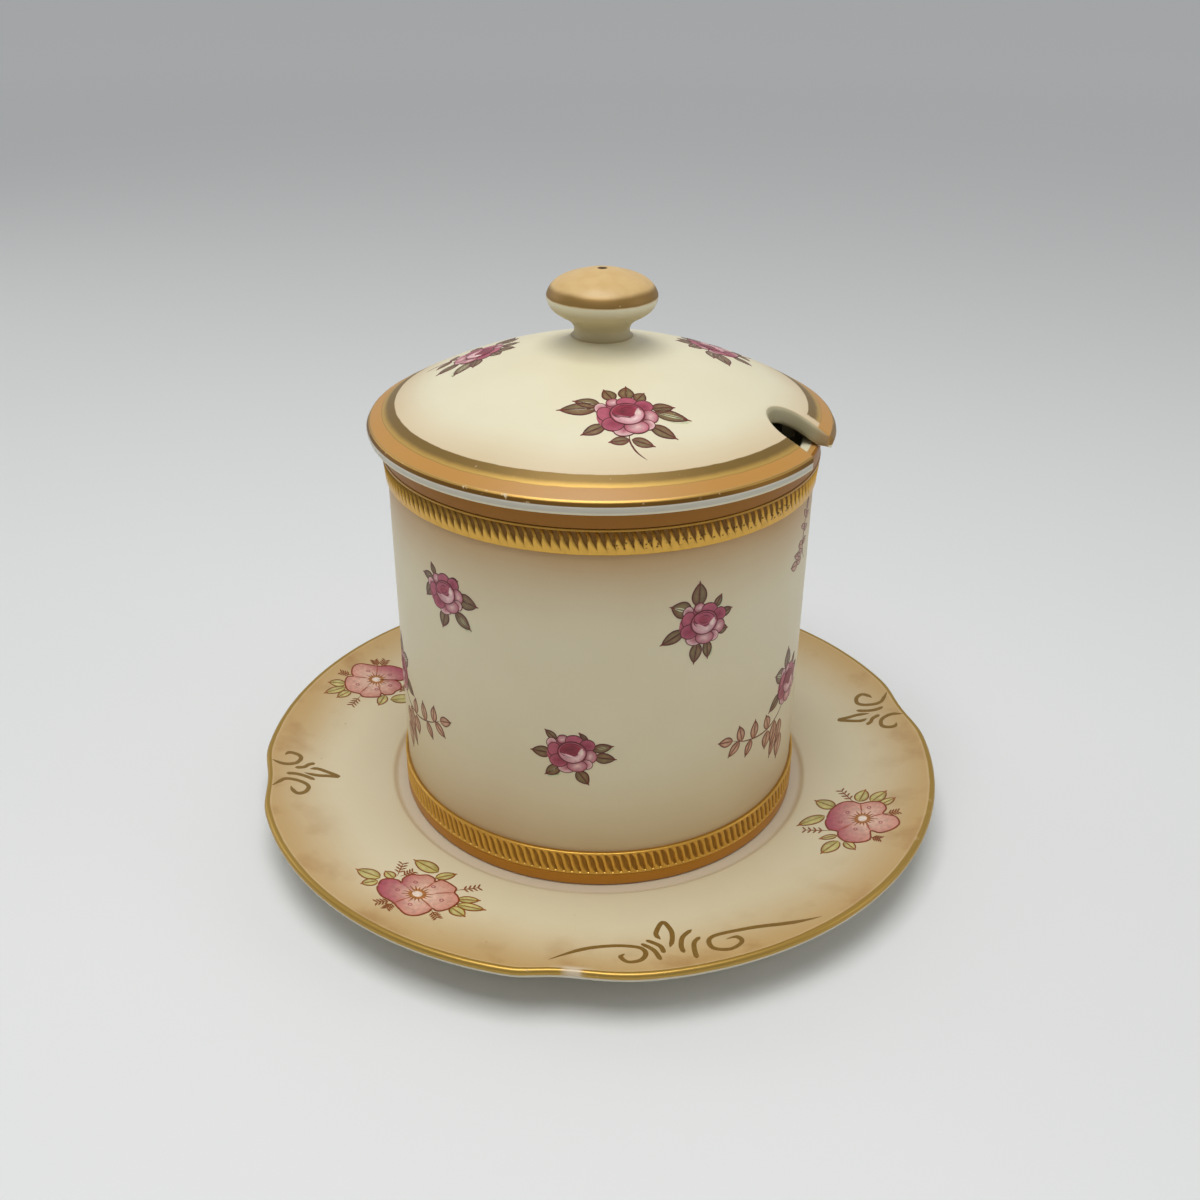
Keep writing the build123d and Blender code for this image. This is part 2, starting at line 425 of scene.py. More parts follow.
def along_way(tree, place, angle):
    """How far a place lies towards an angle in plan."""
    way = (cos(angle), sin(angle), 0)
    return add(tree, "VectorMath", {0: place, 1: way}, out="Value", operation="DOT_PRODUCT")


def jar_glaze():
    """Earthenware under ivory glaze, blushed by airbrush beside its bands, with honey-brown strips; the
    strip at the mouth is darker as painted shade under the lid.
    """
    material, tree, place, radius, height = start_material("ivory_glaze_blushed_jar")
    colour = ivory_ground(tree, place)
    outside = between(tree, radius, WALL_RADIUS - 1, 2 * STRIP_RADIUS, 0.3, 1)
    # The outside is deepened a little: partly the jar's own deeper ivory, partly painted shade for its
    # upright walls, which get less light.
    colour = tinted(tree, colour, outside, "#D9C7A0", 0.35)
    drift = waver(tree, height, place, 30, 2.5)
    blushes = ((LOWER_TOP - 1, LOWER_TOP + LOWER_BLUSH, 0.55),
               (UPPER_FOOT + 1, UPPER_FOOT - UPPER_BLUSH, 0.9))
    for start, end, share in blushes:
        blush = add(tree, "MapRange", {0: drift, 1: start * MM, 2: end * MM, 3: 1.0, 4: 0.0})
        blush = add(tree, "Math", {0: blush, 1: 2.0}, operation="POWER")
        colour = tinted(tree, colour, overlap(tree, blush, outside), "#B78338", share)
    strip = between(tree, radius, WALL_RADIUS + 0.15, 2 * STRIP_RADIUS, 0.2, 1)
    colour = tinted(tree, colour, strip, "#BE801F")
    # The strip at the mouth is painted darker: painted shade under the lid's overhang.
    mouth_strip_shade = add(tree, "Math", {0: height, 1: UPPER_TOP * MM}, operation="GREATER_THAN")
    colour = tinted(tree, colour, overlap(tree, strip, mouth_strip_shade), "#9C640C")
    return glazed_surface(material, tree, place, colour, overlap(tree, strip, 0.35), 0.38)


def lid_glaze():
    """Ivory glaze with an apricot lip, a dull gold band, a gilt edge worn to the glaze and a bare rim."""
    material, tree, place, radius, height = start_material("ivory_glaze_blushed_lid")
    colour = ivory_ground(tree, place)
    above = between(tree, height, MOUTH_LEVEL + 0.3, 2 * KNOB_TOP, 0.3, 1)
    outer = overlap(tree, radius, above)
    drift = waver(tree, outer, place, 25, 1.5)
    blush = between(tree, drift, LID_BLUSH_START, 2 * LID_RADIUS, 12, 1)
    colour = tinted(tree, colour, blush, "#C79A5F", 0.5)
    lip = between(tree, outer, GOLD_BAND_OUTER - 0.3, 2 * LID_RADIUS, 0.2, 1)
    colour = tinted(tree, colour, lip, "#BF8A3E")
    away, side = notch_distance(tree, place)
    cut = between(tree, away, -1, NOTCH_HALF + 0.6, 0.1, 0.35)
    uncut = add(tree, "Math", {0: 1.0, 1: cut}, operation="SUBTRACT")
    ragged = waver(tree, outer, place, 3, 0.15)
    band = between(tree, ragged, GOLD_BAND_INNER, GOLD_BAND_OUTER, 0.2, 0.2)
    far_side = add(tree, "Math", {0: side, 1: 0.0}, operation="GREATER_THAN")
    rubbed = between(tree, waver(tree, away, place, 3, 1.2), -1, NOTCH_HALF + 3.2, 0.1, 0.5)
    rubbed = overlap(tree, rubbed, far_side)
    kept = add(tree, "Math", {0: uncut, 1: rubbed}, operation="SUBTRACT", use_clamp=True)
    band = worn_gilding(tree, place, overlap(tree, band, kept), 0.7, 0.25)
    colour = tinted(tree, colour, band, "#876A31")
    # Paler, brighter gold towards the band's outer edge: painted highlight where the band catches the
    # light.
    gleam = between(tree, ragged, GOLD_BAND_INNER + 1.4, GOLD_BAND_OUTER, 1.2, 0.3)
    colour = tinted(tree, colour, overlap(tree, gleam, band), "#D8AE58", 0.75)
    edge = between(tree, outer, LIP_RADIUS - 0.4, 2 * LID_RADIUS, 0.15, 1)
    bare = between(tree, height, MOUTH_LEVEL - 1, EDGE_LEVEL + 0.35, 0.2, 0.15)
    bare = overlap(tree, bare, above)
    tongue = between(tree, away, -1, NOTCH_HALF + 8, 0.1, 2)
    tongue = overlap(tree, tongue, far_side)
    bare = add(tree, "Math", {0: bare, 1: tongue}, operation="SUBTRACT", use_clamp=True)
    gilt_edge = overlap(tree, worn_gilding(tree, place, edge, 1.6, 0.28), uncut)
    colour = tinted(tree, colour, edge, "#D8C39C")
    colour = tinted(tree, colour, gilt_edge, "#C49A52")
    # The lower part of the gilt edge is painted dark brown: painted shade on the edge's underside.
    under = between(tree, height, EDGE_LEVEL, LIP_LEVEL - 0.05, 0.1, 0.15)
    colour = tinted(tree, colour, overlap(tree, under, gilt_edge), "#6A4410", 0.8)
    colour = tinted(tree, colour, bare, "#CBC5B5")
    colour = tinted(tree, colour, overlap(tree, edge, tongue), "#A8824C")
    inner_cut = between(tree, radius, 0, LID_RADIUS, 0.1, 5)
    colour = tinted(tree, colour, cut, "#A8824E")
    colour = tinted(tree, colour, overlap(tree, cut, inner_cut), "#B0A684")
    bright = add(tree, "Math", {0: band, 1: 0.55, 2: gilt_edge}, operation="MULTIPLY_ADD")
    covered = add(tree, "Math", {0: 1.0, 1: bare}, operation="SUBTRACT")
    gilding = add(tree, "Math", {0: bright, 1: covered}, operation="MULTIPLY", use_clamp=True)
    return glazed_surface(material, tree, place, colour, gilding, 0.42)


def knob_glaze():
    """Ivory glaze below, darkened there as painted shade, apricot over the crown, and a brownish gilt line
    round the widest part.
    """
    material, tree, place, radius, height = start_material("apricot_glaze_knob")
    colour = ivory_ground(tree, place)
    widest = KNOB_SEAT + KNOB_WIDEST
    # Below its widest part the knob is painted darker and browner: painted shade under the crown.
    colour = tinted(tree, colour, between(tree, height, KNOB_SEAT - 2, widest, 1, 2), "#AC9B6E", 0.78)
    crown = between(tree, height, widest + 0.2, 2 * KNOB_TOP, 0.5, 1)
    mottle = add(tree, "TexNoise", {"Vector": place, "Scale": 1 / (3 * MM), "Detail": 5.0})
    apricot = tinted(tree, linear("#DBBC82"), mottle, "#C7A062")
    colour = tinted(tree, colour, crown, apricot)
    # The vent hole and a thin ring round it are painted dark brown: painted shade in the hole.
    vent = between(tree, radius, -1, VENT_RADIUS + 0.3, 0.1, 0.15)
    colour = tinted(tree, colour, overlap(tree, vent, crown), "#5A4326")
    # Brownish tint round the knob's foot: partly soiled glaze at its seam with the lid, partly painted
    # shade where the knob meets the lid.
    seam = between(tree, height, KNOB_SEAT - 1, KNOB_SEAT + 0.4, 0.1, 0.35)
    colour = tinted(tree, colour, seam, "#8A7450", 0.4)
    drift = waver(tree, height, place, 4, 0.2)
    line = between(tree, drift, widest + 0.4, widest + 2.9, 0.3, 1.0)
    gilt = worn_gilding(tree, place, line, 1.2, 0.22)
    colour = tinted(tree, colour, gilt, "#94733C")
    return glazed_surface(material, tree, place, colour, overlap(tree, gilt, 0.55), 0.5)


def saucer_glaze():
    """Ivory glaze blushed tan towards the rim, with a gilt line, rubbed in one place; greyer below, partly
    as painted shade.
    """
    material, tree, place, radius, height = start_material("ivory_glaze_blushed_saucer")
    colour = tinted(tree, ivory_ground(tree, place), 1.0, "#D2BF9A", 0.42)
    middle = add(tree, "MapRange", {0: radius, 1: WELL_RADIUS * MM, 2: SAUCER_RADIUS * MM,
                                    3: MIDDLE_AT_WELL * MM, 4: MIDDLE_AT_RIM * MM})
    upper = add(tree, "Math", {0: height, 1: middle}, operation="GREATER_THAN")
    drift = waver(tree, radius, place, 34, 5)
    blush = overlap(tree, between(tree, drift, SAUCER_BLUSH_START, 2 * SAUCER_RADIUS, 20, 1), upper)
    colour = tinted(tree, colour, blush, "#B98F48", 0.8)
    cloud = add(tree, "TexNoise", {"Vector": place, "Scale": 1 / (9 * MM), "Detail": 6.0})
    patch = add(tree, "MapRange", {0: cloud, 1: 0.5, 2: 0.7})
    colour = tinted(tree, colour, overlap(tree, patch, blush), "#9C6A2E", 0.45)
    # The well round the jar's foot is tinted pinkish grey: painted shade in the hollow of the well.
    ring = between(tree, radius, BORE_RADIUS, WELL_RADIUS + 1, 1, 2)
    colour = tinted(tree, colour, overlap(tree, ring, upper), "#CDBEAC", 0.5)
    # The underside and the rim's outer face are greyer: partly the bare whiter edge, partly painted shade
    # under the rim.
    underside = add(tree, "Math", {0: 1.0, 1: upper}, operation="SUBTRACT")
    colour = tinted(tree, colour, underside, "#CFC9B6", 0.75)
    reach = add(tree, "Attribute", out="Fac", attribute_name="reach")
    ragged = waver(tree, reach, place, 5, 0.12)
    # A pale line just inside the gilt: painted highlight on the rim's crest.
    halo = between(tree, ragged, SAUCER_RADIUS - 1.8, SAUCER_RADIUS - 1.0, 0.2, 0.2)
    colour = tinted(tree, colour, halo, "#E6D2A8", 0.15)
    line = between(tree, ragged, SAUCER_RADIUS - RIM_GILT, 2 * SAUCER_RADIUS, 0.12, 1)
    crest = between(tree, waver(tree, height, place, 5, 0.1), RIM_LEVEL - RIM_GILT, 2 * RIM_LEVEL, 0.15, 1)
    ahead = along_way(tree, place, SLIDE_TURN)
    aside = along_way(tree, place, SLIDE_TURN + pi / 2)
    front = between(tree, ahead, 0, 2 * SAUCER_RADIUS, 1, 1)
    stretch = between(tree, waver(tree, aside, place, 1.2, 0.9), -3.2, 6.7, 4.8, 4.8)
    by_rim = between(tree, ragged, SAUCER_RADIUS - 3, 2 * SAUCER_RADIUS, 2, 1)
    rubbed = overlap(tree, stretch, front, by_rim)
    colour = tinted(tree, colour, rubbed, "#E6DCCA", 0.6)
    left = add(tree, "MapRange", {0: rubbed, 1: 0.5, 2: 0.95, 3: 1.0, 4: 0.12})
    gilt = worn_gilding(tree, place, overlap(tree, line, crest, left), 2.5, 0.28)
    colour = tinted(tree, colour, gilt, "#B69246")
    return glazed_surface(material, tree, place, colour, overlap(tree, gilt, 0.8), 0.33)


def relief_gilding(name, root, crest, hollow, shade_low, shade_high, pits):
    """Burnished gold on ribs: bright crests, dark hollows that are partly painted shade, darker towards
    shade_high as painted shade, pitted by a share.
    """
    material, tree, place, radius, height = start_material(name)
    # From dark brown in the hollows to bright gold on the crests: partly worn, unburnished gold in the
    # hollows, partly painted shade in them.
    raised = add(tree, "MapRange", {0: radius, 1: root * MM, 2: crest * MM})
    cloud = add(tree, "TexNoise", {"Vector": place, "Scale": 1 / (1.4 * MM), "Detail": 6.0})
    worn = add(tree, "MapRange", {0: cloud, 1: 0.3, 2: 0.7, 3: -0.15, 4: 0.15})
    bright = add(tree, "Math", {0: raised, 1: worn}, operation="ADD", use_clamp=True)
    colour = tinted(tree, linear(hollow), bright, "#DFAE4E")
    # Towards shade_high the gold is painted dark brown: painted shade under the lid's overhang.
    overhang_shade = between(tree, height, shade_low, shade_high, shade_high - shade_low, 0.1)
    colour = tinted(tree, colour, overhang_shade, "#7A4E0C", 0.6)
    near = add(tree, "TexVoronoi", {"Vector": place, "Scale": 1 / (PIT_SPACING * MM)}, out="Distance")
    pit = add(tree, "MapRange", {0: near, 1: 0.2, 2: 0.34, 3: 1.0, 4: 0.0})
    facing = along_way(tree, place, PIT_TURN)
    stretch = between(tree, facing, 0.9 * WALL_RADIUS, 2 * WALL_RADIUS, 1, 1)
    level = between(tree, height, shade_low - 1.2, shade_low + 0.8, 0.2, 0.2)
    colour = tinted(tree, colour, overlap(tree, pit, stretch, level), "#4A3010", pits)
    metal = add(tree, "MapRange", {0: bright, 3: 0.4, 4: 0.7})
    rough = add(tree, "MapRange", {0: bright, 3: 0.5, 4: 0.28})
    bump = add(tree, "Bump", {"Strength": 0.3, "Distance": 0.05 * MM, "Height": cloud})
    return finish_material(material, tree, {"Base Color": colour, "Metallic": metal, "Roughness": rough,
                                            "Normal": bump})


def enamel_print():
    """Overglaze enamel, printed and hand tinted: thin colour that pools a little, with a soft gloss."""
    material, tree, place, *_ = start_material("overglaze_enamel_print")
    paint = add(tree, "VertexColor", layer_name="paint")
    pool = add(tree, "TexNoise", {"Vector": place, "Scale": 1 / (0.9 * MM), "Detail": 4.0})
    depth = add(tree, "MapRange", {0: pool, 1: 0.3, 2: 0.7, 3: 0.82, 4: 1.12})
    colour = add(tree, "VectorMath", {0: paint, "Scale": depth}, operation="SCALE")
    rough = add(tree, "MapRange", {0: pool, 3: 0.3, 4: 0.45})
    return finish_material(material, tree, {"Base Color": colour, "Roughness": rough, "IOR": 1.5})


def gold_brushwork():
    """Gold painted with a fine brush, left unburnished: dull olive brown with a slight metal gleam."""
    material, tree, place, *_ = start_material("unburnished_gold_brushwork")
    grain = add(tree, "TexNoise", {"Vector": place, "Scale": 1 / (0.6 * MM), "Detail": 4.0})
    colour = tinted(tree, linear("#7C5D26"), grain, "#A07E3E")
    rough = add(tree, "MapRange", {0: grain, 3: 0.35, 4: 0.5})
    return finish_material(material, tree, {"Base Color": colour, "Metallic": 0.4, "Roughness": rough})


# Saucer


def saucer_outline():
    """Half outline of the saucer, from the middle of its underside to the middle of its well."""
    rim_under = (SAUCER_RADIUS, RIM_LEVEL - RIM_THICKNESS)
    rim_top = (SAUCER_RADIUS, RIM_LEVEL)
    foot_edge = (FOOT_RING_OUTER, FOOT_RING_HEIGHT)
    well_edge = (WELL_RADIUS + WELL_SLOPE, SEAT_LEVEL + WELL_STEP)
    corners = [
        (0, FOOT_RING_HEIGHT, 0),
        (FOOT_RING_INNER, FOOT_RING_HEIGHT, 0.6),
        (FOOT_RING_INNER, TABLE_LEVEL, 0.8),
        (FOOT_RING_OUTER, TABLE_LEVEL, 0.8),
        (*foot_edge, 0.6),
        *bow(foot_edge, rim_under, -0.6, 16),
        (*rim_under, RIM_ROUND),
        (*rim_top, RIM_ROUND),
        *bow(rim_top, well_edge, 0.5, 14),
        (*well_edge, 1.6),
        (WELL_RADIUS, SEAT_LEVEL, 1.6),
        (0, SEAT_LEVEL, 0),
    ]
    return rounded_outline(corners)


def press_lobes(x, y, z):
    """Draws the rim in at shallow notches, the front one slid round, and where it warped in the kiln."""
    radius = np.hypot(x, y)
    angle = np.arctan2(y, x)
    spacing = 2 * pi / LOBES
    slide = SLIDE * np.exp(-(((angle - SLIDE_TURN) / SLIDE_SPREAD) ** 2))
    along = ((angle + slide - LOBE_TURN + spacing / 2) % spacing - spacing / 2) * SAUCER_RADIUS
    dip = LOBE_DIP * (1 + np.cos(pi * np.clip(along / LOBE_REACH, -1, 1))) / 2
    dip = dip + WARP_DIP * np.exp(-(((angle - WARP_TURN) / WARP_SPREAD) ** 2))
    share = np.clip((radius - LOBE_START) / (SAUCER_RADIUS - LOBE_START), 0, 1)
    drawn_in = 1 - dip * share**2 / np.maximum(radius, 1)
    return x * drawn_in, y * drawn_in, z


def make_saucer():
    """Lobed saucer; each vertex keeps its radius from before the pressing, for the gilt line."""
    piece = turned("saucer_dish", divided(saucer_outline(), SAUCER_RING), SAUCER_STEPS)
    reach = piece.data.attributes.new("reach", "FLOAT", "POINT")
    reach.data.foreach_set("value", [vert.co.xy.length for vert in piece.data.vertices])
    reshape(piece, press_lobes)
    finish_piece(piece, saucer_glaze(), "saucer", "ivory_glaze", "saucer")


# Jar and its relief bands


def make_jar():
    foot_inner = STRIP_RADIUS - JAR_FOOT_WIDTH
    base = SEAT_LEVEL + JAR_FOOT_RECESS
    floor = base + JAR_FLOOR
    outline = rounded_outline([
        (0, base, 0),
        (foot_inner, base, 0.3),
        (foot_inner, SEAT_LEVEL, 0.4),
        (STRIP_RADIUS, SEAT_LEVEL, 0.7),
        (STRIP_RADIUS, LOWER_FOOT, 0.2),
        (WALL_RADIUS, LOWER_FOOT, 0.2),
        (WALL_RADIUS, UPPER_TOP, 0.2),
        (STRIP_RADIUS, UPPER_TOP, 0.2),
        (STRIP_RADIUS, MOUTH_LEVEL, 0.7),
        (BORE_RADIUS, MOUTH_LEVEL, 0.7),
        (BORE_RADIUS, floor, 5.0),
        (0, floor, 0),
    ])
    piece = turned("jar_body", divided(outline, JAR_RING), JAR_STEPS)
    finish_piece(piece, jar_glaze(), "jar", "ivory_glaze", "jar")


def press_ribs(piece, low, high, crest_at):
    """Presses slanted ribs between two levels: crest_at takes shares of a rib's spacing and height."""
    spacing = 2 * pi / RIBS

    def press(x, y, z):
        radius = np.hypot(x, y)
        angle = np.arctan2(y, x)
        share = np.clip((z - low) / (high - low), 0, 1)
        lean = share + RIB_SWAY * np.sin(2 * pi * share)
        within = (z > low + RIB_SLACK) & (z < high - RIB_SLACK)
        ribbed = within & (radius > BAND_BACK + BACK_SLACK)
        radius = np.where(ribbed, crest_at((angle / spacing) % 1, share), radius)
        angle = angle - RIB_LEAN * spacing * lean
        return radius * np.cos(angle), radius * np.sin(angle), z

    reshape(piece, press)


def rib_levels(low, high):
    """Corners of the wall that the ribs are pressed into, between two levels."""
    rise = high - low
    return [(RIB_ROOT, low + rise * (level + 0.5) / RIB_LEVELS, 0) for level in range(RIB_LEVELS)]


def make_lower_band():
    ribs_low = LOWER_FOOT + LINE_HEIGHT
    ribs_high = LOWER_TOP - LINE_HEIGHT

    def crest_at(spread, share):
        """Narrow rounded ribs that widen into the lines above and below them."""
        swell = (1 + np.cos(2 * pi * spread)) / 2
        end = np.abs(2 * share - 1) ** 6
        rib = np.clip((swell - 0.3 + 0.5 * end) / 0.5, 0, 1)
        return RIB_ROOT + (LOWER_RADIUS - 0.05 - RIB_ROOT) * rib * rib * (3 - 2 * rib)

    corners = [
        (BAND_BACK, LOWER_FOOT, 0),
        (LOWER_RADIUS, LOWER_FOOT, 0.25),
        (LOWER_RADIUS, ribs_low, 0.25),
        *rib_levels(ribs_low, ribs_high),
        (LOWER_RADIUS, ribs_high, 0.25),
        (LOWER_RADIUS, LOWER_TOP, 0.25),
        (BAND_BACK, LOWER_TOP, 0),
        (BAND_BACK, LOWER_FOOT, 0),
    ]
    piece = turned("jar_lower_relief", rounded_outline(corners, 4), RIBS * RIB_COLUMNS)
    press_ribs(piece, ribs_low, ribs_high, crest_at)
    # The painted shade starts at the band's top, so this band has none, and it has no pits
    gilding = relief_gilding("burnished_gilding_lower_ribs", RIB_ROOT + 0.05, LOWER_RADIUS - 0.15,
                             "#A0701F", LOWER_TOP, LOWER_TOP + 1, 0.0)
    finish_piece(piece, gilding, "jar", "gilt_relief", "jar_lower_band")


def make_upper_band():
    ribs_low = UPPER_FOOT + EDGE_HEIGHT
    ribs_high = UPPER_TOP - TOP_LINE_HEIGHT

    def crest_at(spread, share):
        """Ribs like teeth: the hollows between them start as a point and leave thin ridges higher up."""
        crest = EDGE_RADIUS + (UPPER_RADIUS - EDGE_RADIUS) * share
        hollow = 0.95 * np.clip(share / 0.55, 0, 1)
        depth = np.clip((hollow - np.abs(2 * spread - 1)) / 0.4, 0, 1)
        return crest + (RIB_ROOT - crest) * depth

    corners = [
        (BAND_BACK, UPPER_FOOT, 0),
        (EDGE_RADIUS, UPPER_FOOT, 0.2),
        (EDGE_RADIUS, ribs_low - EDGE_HEIGHT / 2, 0),
        *rib_levels(ribs_low, ribs_high),
        (UPPER_RADIUS, ribs_high, 0.1),
        (UPPER_RADIUS, UPPER_TOP, 0.1),
        (BAND_BACK, UPPER_TOP, 0),
        (BAND_BACK, UPPER_FOOT, 0),
    ]
    piece = turned("jar_upper_relief", rounded_outline(corners, 4), RIBS * RIB_COLUMNS)
    press_ribs(piece, ribs_low, ribs_high, crest_at)
    gilding = relief_gilding("burnished_gilding_upper_ribs", RIB_ROOT + 0.05, EDGE_RADIUS, "#7C540C",
                             UPPER_TOP - 3.0, UPPER_TOP + 0.1, 0.85)
    finish_piece(piece, gilding, "jar", "gilt_relief", "jar_upper_band")


# Lid and knob


def lid_top_line():
    """Outline of the lid's upper side, from its axis to its edge."""
    seat_edge = (KNOB_SEAT_RADIUS, KNOB_SEAT)
    dome_top = (DOME_TOP_RADIUS, DOME_TOP)
    dome_foot = (DOME_FOOT_RADIUS, DOME_FOOT)
    return rounded_outline([
        (0, KNOB_SEAT, 0),
        (*seat_edge, 0),
        *bow(seat_edge, dome_top, -0.55, 10),
        (*dome_top, 0),
        *bow(dome_top, dome_foot, DOME_BULGE, 30),
        (*dome_foot, 0.5),
        (LIP_RADIUS, LIP_LEVEL, 0.65),
        (LID_RADIUS, EDGE_LEVEL, 0),
    ])


def lid_under_line():
    """Outline of the lid's underside and its locating flange, from the axis to the edge."""
    crown = (0, DOME_TOP - LID_THICKNESS)
    dome_foot = (FLANGE_INNER - FLANGE_DRAFT, DOME_FOOT)
    return rounded_outline([
        (*crown, 0),
        *bow(crown, dome_foot, DOME_BULGE, 24),
        (*dome_foot, 0),
        (FLANGE_INNER + FLANGE_DRAFT, FLANGE_FOOT, 0),
        (FLANGE_OUTER - FLANGE_DRAFT, FLANGE_FOOT, 0),
        (FLANGE_OUTER + FLANGE_DRAFT, MOUTH_LEVEL, 0),
        (LID_RADIUS, MOUTH_LEVEL, 0),
    ])


def height_on(line, radius):
    """Height of an outline at a radius."""
    return np.interp(radius, [point.x for point in line], [point.y for point in line])


def lid_rings():
    """Radii of the lid's rings of vertices, close together where the spoon notch and the flange turn."""
    notch_turn = np.linspace(0, pi / 2, 16)
    notch_side = NOTCH_HALF * np.sin(notch_turn)
    rings = [
        np.linspace(0, KNOB_SEAT_RADIUS, 4),
        np.linspace(KNOB_SEAT_RADIUS, DOME_TOP_RADIUS, 10),
        np.linspace(DOME_TOP_RADIUS, NOTCH_TIP - 1.5, 22),
        NOTCH_TIP - 1.5 * np.linspace(1, 0, 9) ** 1.5,
        np.hypot(NOTCH_CENTRE - NOTCH_HALF * np.cos(notch_turn), notch_side),
        np.linspace(np.hypot(NOTCH_CENTRE, NOTCH_HALF), LIP_RADIUS - 0.5, 12),
        np.linspace(LIP_RADIUS - 0.5, LID_RADIUS, 9),
        [FLANGE_INNER - FLANGE_DRAFT, FLANGE_INNER + FLANGE_DRAFT],
        [FLANGE_OUTER - FLANGE_DRAFT, FLANGE_OUTER + FLANGE_DRAFT, RELIEF_RADIUS],
    ]
    return np.unique(np.concatenate(rings).round(3))


def open_notch(x, y, z):
    """Parts the lid at its seam into a flared U-shaped notch, softens its edges and clears the flange."""
    radius = np.hypot(x, y)
    turn = np.arctan2(y, x) % (2 * pi) / (2 * pi * (1 - SEAM_GAP))
    spread = turn - NOTCH_CROWDING * np.sin(2 * pi * turn) / (2 * pi)
    safe = np.maximum(radius, NOTCH_TIP)
    round_end = (safe**2 + NOTCH_CENTRE**2 - NOTCH_HALF**2) / (2 * NOTCH_CENTRE * safe)
    in_round = safe < np.hypot(NOTCH_CENTRE, NOTCH_HALF)
    beyond = np.clip(safe - LID_RADIUS + NOTCH_FLARE, 0, NOTCH_FLARE)
    flare = NOTCH_FLARE - np.sqrt(NOTCH_FLARE**2 - beyond**2)
    straight = np.arcsin((NOTCH_HALF + flare) / safe)
    half = np.where(in_round, np.arccos(np.clip(round_end, -1, 1)), straight)
    half = np.where(radius < NOTCH_TIP + TIP_SLACK, 0, half)
    angle = half + spread * (2 * pi - 2 * half)
    x, y = radius * np.cos(angle), radius * np.sin(angle)
    away = np.hypot(np.minimum(x - NOTCH_CENTRE, 0), y) - NOTCH_HALF
    away = np.where(x < 0, NOTCH_ROUND, away)
    under = height_on(lid_under_line(), radius)
    upper = height_on(lid_top_line(), radius)
    middle = (upper + under) / 2
    cleared = np.interp(radius, (FLANGE_INNER - FLANGE_DRAFT, RELIEF_RADIUS), (DOME_FOOT, MOUTH_LEVEL))
    aside = np.abs((angle + pi) % (2 * pi) - pi)
    near = np.clip((RELIEF_HALF_ANGLE - aside) / RELIEF_SOFT, 0, 1)
    near = near * (radius > FLANGE_INNER - 2 * FLANGE_DRAFT)
    lift = near * np.maximum(cleared - under, 0)
    slim = np.clip((upper - under - lift) / LID_THICKNESS, 0, 1)
    above = np.clip(NOTCH_ROUND - away, 0, NOTCH_ROUND)
    below = np.clip(NOTCH_SOFT - away, 0, NOTCH_SOFT)
    drop = slim * (NOTCH_ROUND - np.sqrt(NOTCH_ROUND**2 - above**2))
    lift += np.clip(2 * slim - 1, 0, 1) * (NOTCH_SOFT - np.sqrt(NOTCH_SOFT**2 - below**2))
    return x, y, np.where(z > middle, z - drop, z + lift)


def wall_notch(piece):
    """Bridges the open edges of the notch's upper and lower side into its wall."""
    bpy.ops.object.mode_set(mode="EDIT")
    close_mesh()
    bpy.ops.mesh.select_mode(type="EDGE")
    bpy.ops.mesh.select_all(action="DESELECT")
    bpy.ops.mesh.select_non_manifold(extend=False, use_wire=False, use_multi_face=False,
                                     use_non_contiguous=False, use_verts=False)
    mesh = bmesh.from_edit_mesh(piece.data)
    for edge in mesh.edges:
        inner, outer = sorted(vert.co.xy.length / MM for vert in edge.verts)
        if outer > LID_RADIUS - EDGE_SLACK and abs(inner - LID_RADIUS + EDGE_UNDERCUT) < EDGE_SLACK:
            edge.select = False
    bmesh.update_edit_mesh(piece.data)
    bpy.ops.mesh.bridge_edge_loops()
    bpy.ops.mesh.select_mode(type="VERT")
    close_mesh()
    bpy.ops.object.mode_set(mode="OBJECT")


def make_lid():
    rings = lid_rings()
    upper = height_on(lid_top_line(), rings)
    under = height_on(lid_under_line(), rings)
    outline = [Vector(point) for point in zip(rings, upper)]
    under_rings = np.minimum(rings, LID_RADIUS - EDGE_UNDERCUT)
    outline += [Vector(point) for point in zip(under_rings[::-1], under[::-1])]
    piece = turned("lid_dome", outline, LID_STEPS, seam_open=True)
    reshape(piece, open_notch)
    wall_notch(piece)
    finish_piece(piece, lid_glaze(), "lid", "ivory_glaze", "lid")


def make_knob():
    rise = KNOB_TOP - KNOB_SEAT
    profile = curve_through([
        (VENT_RADIUS + 0.25, rise),
        (3.0, rise - 0.3),
        (5.4, rise - 0.9),
        (8.3, rise - 1.9),
        (10.1, rise - 3.2),
        (10.95, rise - 4.6),
        (KNOB_RADIUS, KNOB_WIDEST),
        (10.45, 6.0),
        (9.15, 4.8),
        (7.3, 3.75),
        (6.2, 2.8),
        (5.65, 1.9),
        (5.6, 1.1),
        (5.8, 0.5),
        (6.25, 0),
    ], 6)
    vent = [
        (0, rise - VENT_DEPTH),
        (VENT_RADIUS, rise - VENT_DEPTH),
        (VENT_RADIUS, rise - 0.3),
    ]
    outline = [Vector(point) for point in vent] + profile + [Vector((0, 0))]
    outline = [Vector((min(point.x, KNOB_RADIUS), point.y + KNOB_SEAT)) for point in outline]
    piece = turned("lid_knob_turned", divided(outline, KNOB_RING), KNOB_STEPS)
    finish_piece(piece, knob_glaze(), "lid", "ivory_glaze", "lid_knob")


# Prints


def shaded(base, offset, share, tint):
    """Colour at an offset from a wash's focus: its base, deepened towards the angle of the tint, if any."""
    if not tint:
        return base
    colour, angle = tint
    towards = Vector((cos(radians(angle)), sin(radians(angle))))
    return base.lerp(Vector(linear(colour)), max(0, offset.normalized().dot(towards)) * share)


